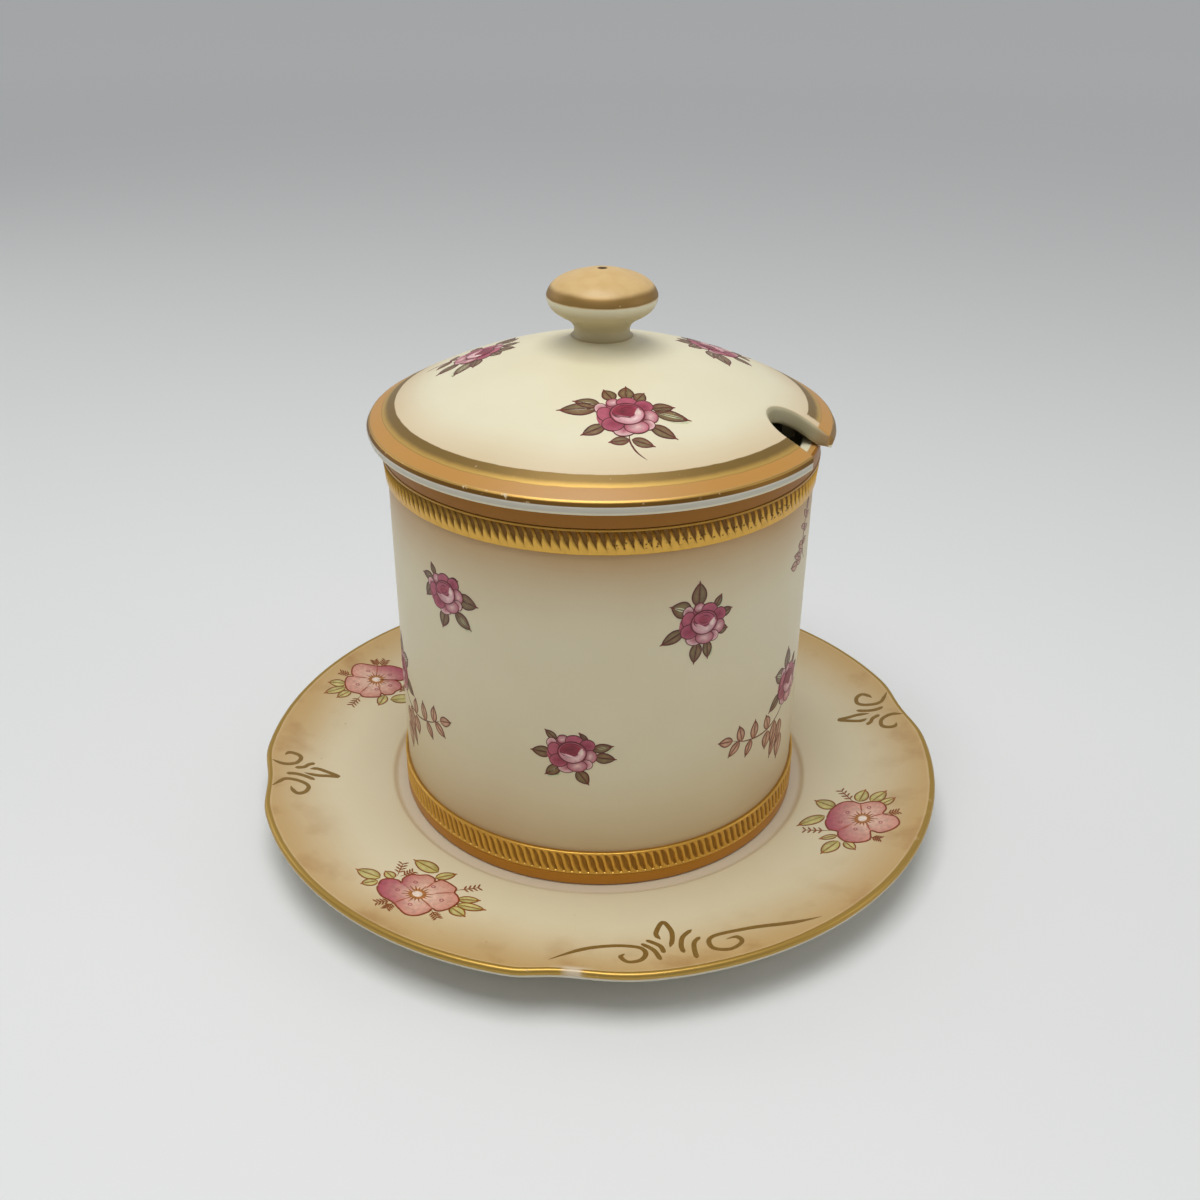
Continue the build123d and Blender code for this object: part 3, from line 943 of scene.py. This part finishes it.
class Drawing:
    """Flat drawing in mm of washes and strokes, which lie over each other in coats."""

    def __init__(self):
        self.points = []
        self.faces = []
        self.paint = []

    def rows(self, rows, colours, coat, closed):
        """Adds a net of quads through rows of points, each row with the colours of its points."""
        first = len(self.points)
        width = len(rows[0])
        for row, row_colours in zip(rows, colours):
            self.points += [(point.x, point.y, coat) for point in row]
            self.paint += row_colours
        for level in range(len(rows) - 1):
            for step in range(width if closed else width - 1):
                start = first + level * width
                above = start + width
                after = (step + 1) % width
                self.faces.append((start + step, above + step, above + after, start + after))

    def wash(self, outline, focus, inner, outer, coat, tint=None, rings=4):
        """Patch that shades from one colour at its focus to another at its outline, tinted to one side."""
        focus = Vector(focus)
        area = sum(start.cross(end) for start, end in zip(outline, outline[1:] + outline[:1]))
        outline = outline if area > 0 else outline[::-1]
        inner, outer = Vector(linear(inner)), Vector(linear(outer))
        rows, colours = [], []
        for ring in range(1, rings + 1):
            share = ring / rings
            row = [focus.lerp(point, share) for point in outline]
            base = inner.lerp(outer, share)
            rows.append(row)
            colours.append([shaded(base, point - focus, share, tint) for point in row])
        centre = len(self.points)
        self.points.append((focus.x, focus.y, coat))
        self.paint.append(inner)
        count = len(outline)
        for step in range(count):
            self.faces.append((centre, centre + 1 + step, centre + 1 + (step + 1) % count))
        self.rows(rows, colours, coat, True)

    def stroke(self, path, width, colour, coat, taper=0.35):
        """Brush stroke along a path, thinning to a point at both ends."""
        colour = Vector(linear(colour))
        last = len(path) - 1
        rows = []
        for step, point in enumerate(path):
            way = (path[min(step + 1, last)] - path[max(step - 1, 0)]).normalized()
            across = Vector((-way.y, way.x))
            swell = min(1, (min(step, last - step) + 0.25) / (taper * last))
            rows.append([point - across * width * swell / 2, point + across * width * swell / 2])
        self.rows(rows, [[colour, colour]] * len(rows), coat, False)

    def placed(self, other, turn=0.0, size=1.0, flip=False):
        """Copies another drawing into this one, turned by degrees, sized or mirrored."""
        first = len(self.points)
        around = radians(turn)
        for x, y, coat in other.points:
            x = -x if flip else x
            across = size * (x * cos(around) - y * sin(around))
            up = size * (x * sin(around) + y * cos(around))
            self.points.append((across, up, coat))
        self.paint += other.paint
        for face in other.faces:
            face = face[::-1] if flip else face
            self.faces.append(tuple(first + corner for corner in face))


def blade(base, tip, width, roundness):
    """Outline of a leaf from base to tip: roundness 0 is pointed at both ends, 1 is an oval."""
    base, tip = Vector(base), Vector(tip)
    way = tip - base
    across = Vector((-way.y, way.x)).normalized()
    sides = []
    for side in (1, -1):
        for step in range(BLADE_STEPS):
            share = step / BLADE_STEPS if side == 1 else 1 - step / BLADE_STEPS
            swell = max(0, sin(pi * share**0.85)) ** (1 - 0.5 * roundness)
            sides.append(base + way * share + across * side * width / 2 * swell)
    return sides


def oval(centre, half_width, half_height, steps=20):
    """Outline of an oval."""
    turns = [2 * pi * step / steps for step in range(steps)]
    return [Vector(centre) + Vector((half_width * cos(turn), half_height * sin(turn))) for turn in turns]


def leaf(drawing, base, tip, width, tones, line, coat, line_width=0.22, roundness=0.25):
    """Leaf in tones for its light, its two halves and its tip, with a midrib and outlines that thin out."""
    light, near, far, point = tones
    outline = blade(base, tip, width, roundness)
    half = len(outline) // 2
    base, tip = Vector(base), Vector(tip)
    for side, colour in ((outline[:half] + [tip], near), (outline[half:] + [base], far)):
        middle = sum(side, Vector((0, 0))) / len(side)
        drawing.wash(side, middle.lerp(base.lerp(tip, 0.5), 0.3), light, colour, coat, rings=3)
        drawing.stroke(side, line_width, line, coat + 1, 0.15)
    midrib = [base.lerp(tip, share) for share in (0, 0.25, 0.5, 0.75, 0.9)]
    drawing.stroke(midrib, line_width * 0.8, line, coat + 1)
    spike = [tip.lerp(base, share) for share in (-0.08, 0.02, 0.1, 0.18)]
    drawing.stroke(spike, line_width * 1.6, point, coat + 1.5)


# Enamel colours; a leaf has tones for its light, its two halves and its tip
PETAL_PALE = "#E4BDB8"
PETAL_PINK = "#B25468"
PETAL_DEEP = "#8E2842"
HEART_RED = "#98283F"
HEART_DARK = "#701A2A"
PRINT_LINE = "#561410"
LEAF_WASH = "#BCC694"
WASH_EDGE = "#D6D5AE"
ROSE_LEAF = ("#8A744C", "#6C3C22", "#664E2E", "#702416")
SPRAY_LEAF = ("#D0AC8E", "#B07858", "#9C6246", "#6A2A1C")
MEADOW_LEAF = ("#D2C68A", "#B7AC58", "#97883A", "#9A5A20")
SPRAY_LINE = "#6A2A1C"
RUST_LINE = "#864408"

# Outer petals of the rose: centre, half width, half height and colours at its middle and its edge
ROSE_PETALS = (
    ((-4.1, 2.2), 1.1, 1.3, PETAL_PINK, PETAL_PALE),
    ((-1.8, 3.3), 1.2, 1.1, PETAL_PALE, PETAL_PINK),
    ((0.5, 3.2), 1.8, 1.3, PETAL_PINK, PETAL_PINK),
    ((3.2, 2.1), 1.6, 1.5, PETAL_DEEP, PETAL_PINK),
    ((-3.6, 0.7), 1.4, 1.7, PETAL_PINK, PETAL_PINK),
    ((3.8, -0.5), 1.4, 1.6, PETAL_PALE, PETAL_PINK),
    ((-1.1, -3.6), 1.8, 1.2, PETAL_PINK, PETAL_PALE),
    ((3.0, -2.5), 1.3, 1.2, PETAL_PINK, PETAL_PALE),
    ((-2.7, -1.9), 1.9, 1.6, PETAL_DEEP, PETAL_PINK),
    ((1.1, -2.9), 2.1, 1.5, PETAL_PALE, PETAL_PINK),
)

# Leaves of four sprigs: base, tip and width
LEAVES_SPREAD = (
    ((-4.0, -0.3), (-8.1, -0.2), 2.5), ((-2.3, -3.2), (-5.3, -5.5), 2.3), ((1.1, -4.0), (3.3, -7.2), 2.5),
    ((4.4, -0.6), (8.6, -1.2), 2.4), ((4.0, 1.1), (8.0, 1.9), 2.0), ((-3.0, 3.0), (-5.2, 5.0), 1.5),
    ((3.2, 3.2), (1.5, 4.9), 0.8))
LEAVES_LEFT = (
    ((-2.9, 3.0), (-3.9, 5.3), 1.3), ((-3.4, 2.0), (-6.7, 2.3), 1.8), ((-3.6, 1.0), (-6.0, -2.4), 2.4),
    ((-0.2, -3.6), (-1.3, -7.7), 2.6), ((2.5, -3.2), (6.3, -5.9), 2.6), ((3.2, 0.2), (8.1, -0.4), 3.2),
    ((1.6, 3.6), (3.6, 3.8), 1.0))
LEAVES_UPRIGHT = (
    ((-1.1, 3.8), (-1.1, 8.9), 3.1), ((-2.6, 3.0), (-6.8, 4.7), 3.4), ((-4.0, -0.7), (-8.5, -3.1), 2.5),
    ((-1.1, -3.9), (-1.7, -8.3), 2.5), ((1.0, -3.9), (1.3, -7.8), 1.9), ((3.7, 1.0), (6.4, 1.8), 1.9),
    ((3.3, -2.2), (5.6, -2.3), 2.0), ((2.5, 2.9), (3.8, 5.3), 1.5))
LEAVES_LID = (
    ((-4.6, 2.2), (-11.0, 3.4), 3.0), ((-4.0, 3.0), (-8.2, 5.0), 2.4), ((-4.0, -2.0), (-8.1, -3.4), 2.2),
    ((-1.6, 4.0), (-2.8, 7.0), 2.4), ((0.6, 4.0), (1.1, 7.5), 2.6), ((2.2, 3.6), (3.9, 5.6), 2.2),
    ((4.4, 1.6), (8.4, 2.0), 2.2), ((4.6, 0.6), (10.4, -1.0), 2.6), ((3.4, -2.6), (7.3, -5.5), 2.5))


def draw_rose(heart_dark, heart_edge):
    """Head of a double rose whose heart, in two tones, opens upwards behind a pale front petal."""
    drawing = Drawing()
    drawing.wash(oval((-0.3, -0.2), 4.9, 4.2, 24), (0, 0), PETAL_DEEP, PETAL_PINK, 2.5)
    for index, (centre, half_width, half_height, inner, outer) in enumerate(ROSE_PETALS):
        petal = oval(centre, half_width, half_height)
        coat = 3 + index / 2
        inwards = degrees(atan2(-centre[1], -centre[0]))
        drawing.wash(petal, centre, inner, outer, coat, (PETAL_DEEP, inwards))
        drawing.stroke(petal + petal[:1], 0.17, PRINT_LINE, coat + 0.25, 0.02)
    cup = oval((0.1, 0.3), 2.95, 2.6, 28)
    drawing.wash(cup, (0.1, 0.6), PETAL_DEEP, PETAL_PINK, 8.5)
    drawing.stroke(cup + cup[:1], 0.24, PRINT_LINE, 9, 0.02)
    lip = curve_through([(-2.5, 0.1), (-1.9, -1.3), (-0.2, -2.15), (1.6, -1.8), (2.65, -0.5), (2.75, 0.9),
                         (2.0, 0.6), (0.6, -0.6), (-1.2, -0.4)], 4, True)
    drawing.wash(lip, (1.2, -1.0), "#EACBC4", "#CF8E98", 9.5, rings=3)
    heart = oval((-0.2, 1.0), 2.1, 1.4, 24)
    drawing.wash(heart, (-0.5, 0.9), heart_dark, heart_edge, 10)
    drawing.stroke(heart[12:] + heart[:1], 0.18, HEART_DARK, 10.5, 0.2)
    flame = curve_through([(1.3, 0.1), (2.1, 1.5), (2.5, 0.7), (2.2, -0.3)], 4, True)
    drawing.wash(flame, (2.0, 0.5), "#F0DACB", PETAL_PALE, 11, rings=2)
    swirls = (((-1.9, 1.9), (-0.2, 2.5), (1.7, 2.0), (2.5, 0.9)),
              ((-1.3, 0.9), (-0.6, 0.2), (0.5, 0.3), (1.0, 1.0)),
              ((-0.9, 1.5), (0.1, 1.9), (1.0, 1.5)),
              ((-2.4, 1.2), (-2.2, 0.0), (-1.3, -0.7)))
    for points in swirls:
        drawing.stroke(curve_through(points, 5), 0.2, HEART_DARK, 11)
    return drawing


def draw_sprig(leaves, turn=0.0, head=1.0, heart=(HEART_DARK, HEART_RED)):
    """Rose head, turned by degrees and sized, among leaves, some with a green wash past their edges."""
    drawing = Drawing()
    for index, (base, tip, width) in enumerate(leaves):
        if index % 3 == 1:
            spill = Vector((0.3, -0.4))
            wash = blade(Vector(base) + spill, Vector(tip) + spill, width, 0.8)
            drawing.wash(wash, wash[BLADE_STEPS // 2], LEAF_WASH, WASH_EDGE, 0, rings=2)
        leaf(drawing, base, tip, width, ROSE_LEAF, PRINT_LINE, 1)
    drawing.placed(draw_rose(*heart), turn=turn, size=head)
    return drawing


def draw_leaf_spray():
    """Trailing stem with paired leaves, drawn to the left of a flower at the origin."""
    drawing = Drawing()
    stem = curve_through([(-1.5, -3.5), (-5.0, -6.0), (-10.0, -7.2), (-16.0, -6.4), (-20.5, -4.6)], 6)
    drawing.stroke(stem, 0.3, SPRAY_LINE, 1)
    leaves = (((-20.3, -4.7), (-24.0, -3.9), 1.7), ((-18.3, -5.5), (-21.2, -8.2), 1.7),
              ((-17.6, -5.8), (-18.6, -1.9), 1.7), ((-14.6, -6.8), (-16.2, -10.2), 1.6),
              ((-13.8, -6.9), (-13.6, -2.6), 1.9), ((-8.6, -7.0), (-9.6, -3.4), 1.9),
              ((-8.6, -7.6), (-9.4, -11.6), 2.4), ((-5.6, -6.6), (-6.6, -12.4), 2.2),
              ((-4.4, -8.8), (-7.0, -15.0), 2.2), ((-3.0, -7.6), (-3.8, -13.0), 2.4),
              ((-2.4, -11.4), (-3.4, -17.2), 2.8))
    for base, tip, width in leaves:
        leaf(drawing, base, tip, SPRAY_LEAF_WIDTH * width, SPRAY_LEAF, SPRAY_LINE, 1)
    return drawing


def draw_rose_spray():
    """Rose with a trailing leaf spray."""
    drawing = Drawing()
    drawing.placed(draw_leaf_spray())
    drawing.placed(draw_sprig(LEAVES_UPRIGHT[:3] + LEAVES_UPRIGHT[5:], -20))
    return drawing


def draw_lid_rose():
    """Large rose with leaves to both sides, on a short curved stem with two small leaves."""
    drawing = Drawing()
    stem = curve_through([(-0.3, -4.3), (-0.6, -5.9), (0.1, -8.2), (1.6, -10.0)], 5)
    drawing.stroke(stem, 0.3, SPRAY_LINE, 1)
    leaf(drawing, (-0.6, -5.6), (-3.9, -5.8), 1.7, ROSE_LEAF, SPRAY_LINE, 1)
    leaf(drawing, (-0.2, -5.6), (3.2, -7.2), 1.9, ROSE_LEAF, SPRAY_LINE, 1)
    drawing.placed(draw_sprig(LEAVES_LID))
    return changed(drawing, size=LID_ROSE_SIZE)


# Two wild roses: petals is their outline, clefts part the petals, leaves have base, tip and width,
# sprigs have foot and tip, and deep_side is the angle of the deeper pink
WILD_ROSE_WIDE = {
    "petals": ((-7.7, -3.3), (-8.5, -1.4), (-7.7, 0.1), (-6.1, 0.9), (-4.8, 0.6), (-5.8, 2.0), (-5.6, 4.2),
               (-4.2, 5.2), (-3.0, 6.4), (-1.1, 6.4), (-0.3, 5.6), (0.2, 7.0), (2.0, 7.2), (4.4, 6.8),
               (5.1, 5.5), (6.5, 4.9), (7.9, 3.5), (8.0, 0.6), (7.0, -1.6), (5.6, -1.7), (5.8, -3.2),
               (5.0, -5.7), (3.2, -6.8), (0.6, -6.2), (-1.2, -5.6), (-2.6, -5.5), (-4.6, -5.5),
               (-6.7, -4.5)),
    "clefts": ((-4.8, 0.6), (-0.3, 5.6), (5.6, -1.7), (-1.2, -5.6), (5.1, 5.5)),
    "leaves": (((-9.3, -1.1), (-14.6, -2.3), 3.4), ((-8.9, -2.2), (-10.4, -5.3), 2.4),
               ((-7.3, 0.8), (-10.2, 1.4), 2.3), ((-2.2, 8.6), (-8.6, 8.5), 3.5),
               ((-1.2, 6.7), (1.0, 10.5), 2.4), ((7.1, 4.2), (10.7, 6.7), 2.2),
               ((8.2, 2.7), (13.5, 4.9), 2.4), ((7.9, 1.2), (12.0, 0.6), 2.8)),
    "sprigs": (((-7.3, 1.8), (-9.7, 6.1)), ((-6.8, 2.2), (-6.1, 5.3)), ((4.9, 6.4), (7.8, 10.2)),
               ((5.7, -2.2), (8.5, -3.5)), ((-1.9, -5.1), (-3.7, -7.9)), ((-1.4, -5.4), (-0.8, -8.0))),
    "dots": ((-3.8, -1.7), (-3.1, 2.8), (0.6, 4.1), (5.0, 1.7), (1.5, -3.7)),
    "deep_side": 205,
}
WILD_ROSE_TALL = {
    "petals": ((-1.9, 7.5), (1.8, 7.4), (4.9, 5.9), (5.9, 3.7), (5.5, 1.8), (6.7, -0.3), (6.7, -2.7),
               (4.8, -4.1), (2.7, -3.9), (2.1, -6.7), (-0.3, -8.1), (-2.7, -7.1), (-4.4, -4.9),
               (-4.1, -2.8), (-7.1, -3.4), (-8.7, -1.6), (-9.1, 1.2), (-7.7, 3.3), (-5.8, 4.1),
               (-5.5, 6.0), (-3.7, 7.2)),
    "clefts": ((5.5, 1.8), (2.7, -3.9), (-4.1, -2.8), (-5.8, 4.1)),
    "leaves": (((2.8, 6.8), (4.2, 11.6), 3.4), ((-0.8, 8.2), (-5.8, 12.7), 2.8),
               ((-9.3, 2.9), (-14.4, 5.2), 3.2), ((-9.1, 1.6), (-11.5, -1.2), 2.2),
               ((6.2, 2.4), (10.8, 2.0), 3.0), ((6.7, -0.3), (11.2, -2.5), 3.0),
               ((5.8, -2.3), (9.0, -5.0), 2.2), ((-7.3, 3.7), (-9.4, 6.9), 1.6)),
    "sprigs": (((5.6, 3.2), (9.6, 7.4)), ((-5.9, 5.6), (-7.2, 11.2)), ((2.8, -4.2), (4.1, -6.9)),
               ((-6.5, -3.0), (-6.6, -5.4))),
    "dots": ((1.6, 3.7), (4.4, -0.4), (-0.6, -4.1), (-4.2, 0.5), (-2.4, 4.3)),
    "deep_side": 115,
}


def draw_wild_rose(petals, clefts, leaves, sprigs, dots, deep_side):
    """Open wild rose with stamens, leaves and small feathery sprigs."""
    drawing = Drawing()
    for base, tip, width in leaves:
        leaf(drawing, base, tip, width, MEADOW_LEAF, RUST_LINE, 1, 0.3, 0.5)
    for foot, tip in sprigs:
        foot, tip = Vector(foot), Vector(tip)
        way = (tip - foot).normalized()
        side = Vector((-way.y, way.x))
        drawing.stroke([foot.lerp(tip, share) for share in (0, 0.4, 0.7, 1)], 0.26, RUST_LINE, 1)
        for share in (0.3, 0.5, 0.7, 0.9):
            for hand in (1, -1):
                barb = foot.lerp(tip, share)
                bent = barb + way * 0.5 + side * hand * 0.6
                end = barb + way * 0.8 + side * hand * 1.1
                drawing.stroke([barb, bent, end], 0.42, RUST_LINE, 2, 0.5)
    outline = curve_through(petals, 4, True)
    drawing.wash(outline, (0, 0), "#E8CBB4", "#CC8C7A", 3, ("#A8445A", deep_side), 8)
    drawing.stroke(outline + outline[:1], 0.38, "#86360E", 4, 0.01)
    for cleft in clefts:
        drawing.stroke([Vector(cleft) * share for share in (1, 0.8, 0.6, 0.45)], 0.32, "#A85030", 4, 0.4)
    for spot in dots:
        ring = oval(spot, 0.42, 0.36, 10)
        drawing.stroke(ring + ring[:1], 0.22, "#A04A50", 4, 0.02)
    drawing.wash(oval((0, 0), 1.9, 1.7), (0, 0), "#C48C4A", "#B4783C", 4, rings=2)
    for stamen in range(STAMENS):
        turn = 2 * pi * stamen / STAMENS
        way = Vector((cos(turn), sin(turn)))
        drawing.stroke([way * 1.0, way * 1.8, way * (2.5 + 0.4 * (stamen % 3))], 0.36, "#9C5A22", 5, 0.5)
    drawing.wash(oval((0, 0), 1.1, 0.95), (0, 0), "#F2E2D4", "#E8D0BE", 6, rings=2)
    return drawing


GOLD = "#806024"

# Brush strokes of the front scroll and of those at the other notches: x along the rim, y inwards
FRONT_SCROLL = (
    ((-24.2, 4.7), (-16.8, 9.6), (-10.6, 11.2), (-6.0, 10.3), (-5.0, 8.0), (-6.5, 5.6), (-9.0, 5.1),
     (-10.0, 7.0), (-9.0, 8.2)),
    ((-3.9, 12.6), (-1.8, 10.1), (-1.6, 7.4)),
    ((-5.1, 11.5), (-3.3, 8.8), (-2.8, 5.0)),
    ((-1.1, 12.3), (-1.5, 14.5), (0.7, 18.0), (1.6, 14.9), (1.1, 11.8), (0.0, 9.1)),
    ((5.6, 13.9), (3.3, 12.0), (2.2, 9.1), (2.1, 6.4)),
    ((6.5, 10.9), (4.9, 9.3), (4.2, 6.3), (4.0, 3.7)),
    ((32.0, 3.4), (26.0, 5.6), (18.0, 8.9), (10.9, 10.2), (8.0, 9.3), (7.9, 6.1), (10.9, 4.3),
     (13.8, 5.6), (13.4, 7.8), (11.1, 8.0)),
)
SIDE_SCROLL = (
    ((-6.6, 1.4), (-5.4, 3.5), (-5.3, 5.4), (-6.1, 7.2), (-8.0, 8.0), (-9.4, 7.0), (-9.9, 5.2),
     (-8.8, 4.3)),
    ((-4.0, 6.7), (-4.4, 8.8), (-5.5, 9.9), (-6.1, 11.3)),
    ((-3.8, 10.2), (-4.0, 11.9), (-3.0, 14.0), (-1.2, 16.8), (-1.3, 14.3), (-1.4, 11.8), (-2.2, 8.9)),
    ((-1.5, 4.6), (-1.6, 6.8), (-0.9, 9.1), (0.4, 11.4)),
    ((3.7, 1.4), (1.9, 3.0), (0.7, 4.4), (0.7, 6.4), (1.7, 8.8), (3.2, 9.9), (5.2, 9.1),
     (5.9, 7.4), (4.6, 6.2), (3.3, 5.8)),
)


def draw_scroll(strokes):
    """Gold bud between strokes and curls that spring from the rim."""
    drawing = Drawing()
    for points in strokes:
        drawing.stroke(curve_through(points, 6), SCROLL_STROKE, GOLD, 1, 0.12)
    return drawing


def lay_print(name, drawing, place, material, body, slot):
    """Lays a drawing on a piece as thin closed coats: place takes across, up and coat height in mm."""
    across, up, coat = np.array(drawing.points).T
    x, y, z = place(across, up, COAT_BASE + COAT_STEP * coat)
    mesh = bpy.data.meshes.new(name)
    mesh.from_pydata((np.stack([x, y, z], axis=1) * MM).tolist(), [], drawing.faces)
    paint = mesh.color_attributes.new("paint", "FLOAT_COLOR", "POINT")
    paint.data.foreach_set("color", np.array([tuple(tone) for tone in drawing.paint]).ravel())
    piece = bpy.data.objects.new(name, mesh)
    bpy.context.scene.collection.objects.link(piece)
    select_only(piece)
    thicken = piece.modifiers.new("coat", "SOLIDIFY")
    thicken.thickness = COAT_DEPTH * MM
    thicken.offset = -1
    bpy.ops.object.modifier_apply(modifier="coat")
    finish_piece(piece, material, body, slot)


def on_jar(angle, level):
    """Place on the jar's wall about an angle in degrees and a level."""
    def place(across, up, coat):
        turn = radians(angle) + across / WALL_RADIUS
        radius = WALL_RADIUS + coat
        return radius * np.cos(turn), radius * np.sin(turn), level + up
    return place


def on_dish(angle, radius, line, press=None):
    """Place on a dished or domed top about an angle in degrees and a radius: up points to the axis."""
    def place(across, up, coat):
        inward = radius - up
        turn = radians(angle)
        x = inward * cos(turn) - across * sin(turn)
        y = inward * sin(turn) + across * cos(turn)
        z = height_on(line, np.hypot(x, y)) + coat
        return press(x, y, z) if press else (x, y, z)
    return place


def on_rim(angle, line):
    """Place on the saucer measured inwards from its rim, following it round."""
    def place(across, up, coat):
        radius = SAUCER_RADIUS - up
        turn = radians(angle) + across / radius
        x, y = radius * np.cos(turn), radius * np.sin(turn)
        return press_lobes(x, y, height_on(line, radius) + coat)
    return place


def changed(drawing, **changes):
    """The same drawing turned, sized or mirrored."""
    copy = Drawing()
    copy.placed(drawing, **changes)
    return copy


def lay_jar_prints(enamel):
    dark = (HEART_DARK, HEART_RED)
    soft = (HEART_RED, PETAL_PINK)
    # Roses: angle, level, leaves, turn and size of the head, and tones of its heart;
    # the first three show in the photograph, and the others are guessed
    roses = ((-107.2, 68.1, LEAVES_LEFT, 16, 0.92, soft), (-38.9, 65.8, LEAVES_UPRIGHT, -14, 0.97, soft),
             (-71.9, 38.7, LEAVES_SPREAD, 0, 0.96, dark), (36, 66, LEAVES_SPREAD, 10, 0.96, dark),
             (70, 40, LEAVES_UPRIGHT, -20, 0.97, soft), (105, 67, LEAVES_LEFT, 0, 0.92, soft),
             (142, 39, LEAVES_SPREAD, -10, 0.96, dark), (178, 69, LEAVES_UPRIGHT, 15, 0.97, soft))
    for number, (angle, level, leaves, turn, head, heart) in enumerate(roses, 1):
        sprig = draw_sprig(leaves, turn, head, heart)
        lay_print(f"jar_rose_{number}", sprig, on_jar(angle, level), enamel, "jar", "ivory_glaze")
    # Roses with a leaf spray: angle, level, turn and whether mirrored
    sprays = ((-1.0, 40.4, 0, False), (-139.6, 38.4, 8, True))
    for number, (angle, level, turn, flip) in enumerate(sprays, 1):
        spray = changed(draw_rose_spray(), turn=turn, flip=flip)
        lay_print(f"jar_rose_spray_{number}", spray, on_jar(angle, level), enamel, "jar", "ivory_glaze")
    spray = changed(draw_leaf_spray(), turn=-90, size=0.6)
    lay_print("jar_leaf_spray", spray, on_jar(7.5, 66.9), enamel, "jar", "ivory_glaze")


def lay_lid_prints(enamel):
    line = lid_top_line()
    # Roses: angle and radius
    roses = ((-55.4, 28.3), (-170.2, 26.5), (52.5, 26.5))
    for number, (angle, radius) in enumerate(roses, 1):
        place = on_dish(angle, radius, line)
        lay_print(f"lid_rose_{number}", draw_lid_rose(), place, enamel, "lid", "ivory_glaze")


def lay_saucer_prints(enamel, gold):
    outline = saucer_outline()
    crest = max(range(len(outline)), key=lambda index: outline[index].y)
    line = outline[crest:][::-1]
    # Wild roses: angle, radius, which rose and its turn
    roses = ((-100.4, 63, WILD_ROSE_WIDE, 0), (0.9, 63.6, WILD_ROSE_TALL, 0),
             (177.6, 65, WILD_ROSE_WIDE, -45), (85, 63, WILD_ROSE_TALL, 60))
    for number, (angle, radius, kind, turn) in enumerate(roses, 1):
        rose = changed(draw_wild_rose(**kind), turn=turn)
        place = on_dish(angle, radius, line, press_lobes)
        lay_print(f"saucer_wild_rose_{number}", rose, place, enamel, "saucer", "ivory_glaze")
    # Gold scrolls: angle and strokes
    scrolls = ((39.2, SIDE_SCROLL), (126.7, SIDE_SCROLL), (216.7, SIDE_SCROLL), (306.7, FRONT_SCROLL))
    for number, (angle, strokes) in enumerate(scrolls, 1):
        place = on_rim(angle, line)
        lay_print(f"saucer_scroll_{number}", draw_scroll(strokes), place, gold, "saucer", "gilt_relief")


def lay_prints():
    enamel = enamel_print()
    gold = gold_brushwork()
    lay_jar_prints(enamel)
    lay_lid_prints(enamel)
    lay_saucer_prints(enamel, gold)


# Stage, light and camera

FLOOR_SIZE = 12
LIGHT_AIM = Vector((0, 0, 0.05))

# Camera where the photograph was taken from, solved from the pot's own outline
FRONT = radians(25)
ELEVATION = radians(28.18)
ROLL = radians(0.42)
AIM_LEVEL = 49.3
CAMERA_DISTANCE = 281.6
SENSOR_WIDTH = 36
LENS = 37.9
CLIP_START = 10


def make_stage():
    """Pale floor that runs back out of sight, painted a little paler far off: painted light where the lamps
    fall off.
    """
    bpy.ops.object.select_all(action="DESELECT")
    bpy.ops.mesh.primitive_plane_add(size=FLOOR_SIZE)
    floor = bpy.context.object
    floor.name = "floor"
    material, tree, _, radius, _ = start_material("matt_paper_floor")
    # Painted light: the floor is made paler with distance, to make up for the lamps' light falling off.
    far = add(tree, "MapRange", {0: radius, 1: 0.4, 2: 1.8})
    colour = tinted(tree, linear("#E7E8E7"), far, "#FAFBFA")
    floor.data.materials.append(finish_material(material, tree, {"Base Color": colour, "Roughness": 0.7}))


def add_softbox(name, place, size, power):
    """Square soft light that points at the pot, placed and sized in metres."""
    lamp = bpy.data.lights.new(name, "AREA")
    lamp.size = size
    lamp.energy = power
    box = bpy.data.objects.new(name, lamp)
    box.location = place
    box.rotation_euler = (LIGHT_AIM - Vector(place)).to_track_quat("-Z", "Y").to_euler()
    bpy.context.scene.collection.objects.link(box)


def light_stage():
    """Room light that is dimmer from the side of the camera, with soft lights above and to both sides."""
    world = bpy.data.worlds.new("studio")
    bpy.context.scene.world = world
    world.use_nodes = True
    tree = world.node_tree
    way = add(tree, "TexCoord", out="Generated")
    front = along_way(tree, way, FRONT - pi / 2)
    level = add(tree, "MapRange", {0: front, 1: -1.0, 2: 1.0, 3: 0.56, 4: 0.28})
    background = tree.nodes["Background"]
    tree.links.new(level, background.inputs["Strength"])
    background.inputs["Color"].default_value = linear("#F2F4F6")
    add_softbox("overhead_softbox", (0.01, -0.13, 0.65), 0.4, 2.55)
    add_softbox("left_softbox", (-0.7, 0.0, 0.35), 0.3, 0.4)
    add_softbox("right_softbox", (0.7, 0.2, 0.35), 0.3, 0.4)


def place_camera():
    back = Vector((sin(FRONT) * cos(ELEVATION), -cos(FRONT) * cos(ELEVATION), sin(ELEVATION)))
    camera = bpy.data.objects.new("camera", bpy.data.cameras.new("camera"))
    camera.data.sensor_width = SENSOR_WIDTH
    camera.data.lens = LENS
    camera.data.clip_start = CLIP_START * MM
    camera.location = Vector((0, 0, AIM_LEVEL)) * MM + back * CAMERA_DISTANCE * MM
    look = (-back).to_track_quat("-Z", "Y")
    camera.rotation_mode = "QUATERNION"
    camera.rotation_quaternion = look @ Quaternion((0, 0, 1), ROLL)
    bpy.context.scene.collection.objects.link(camera)
    bpy.context.scene.camera = camera
    bpy.context.scene.view_settings.view_transform = "Standard"


make_saucer()
make_jar()
make_lower_band()
make_upper_band()
make_lid()
make_knob()
lay_prints()
make_stage()
light_stage()
place_camera()
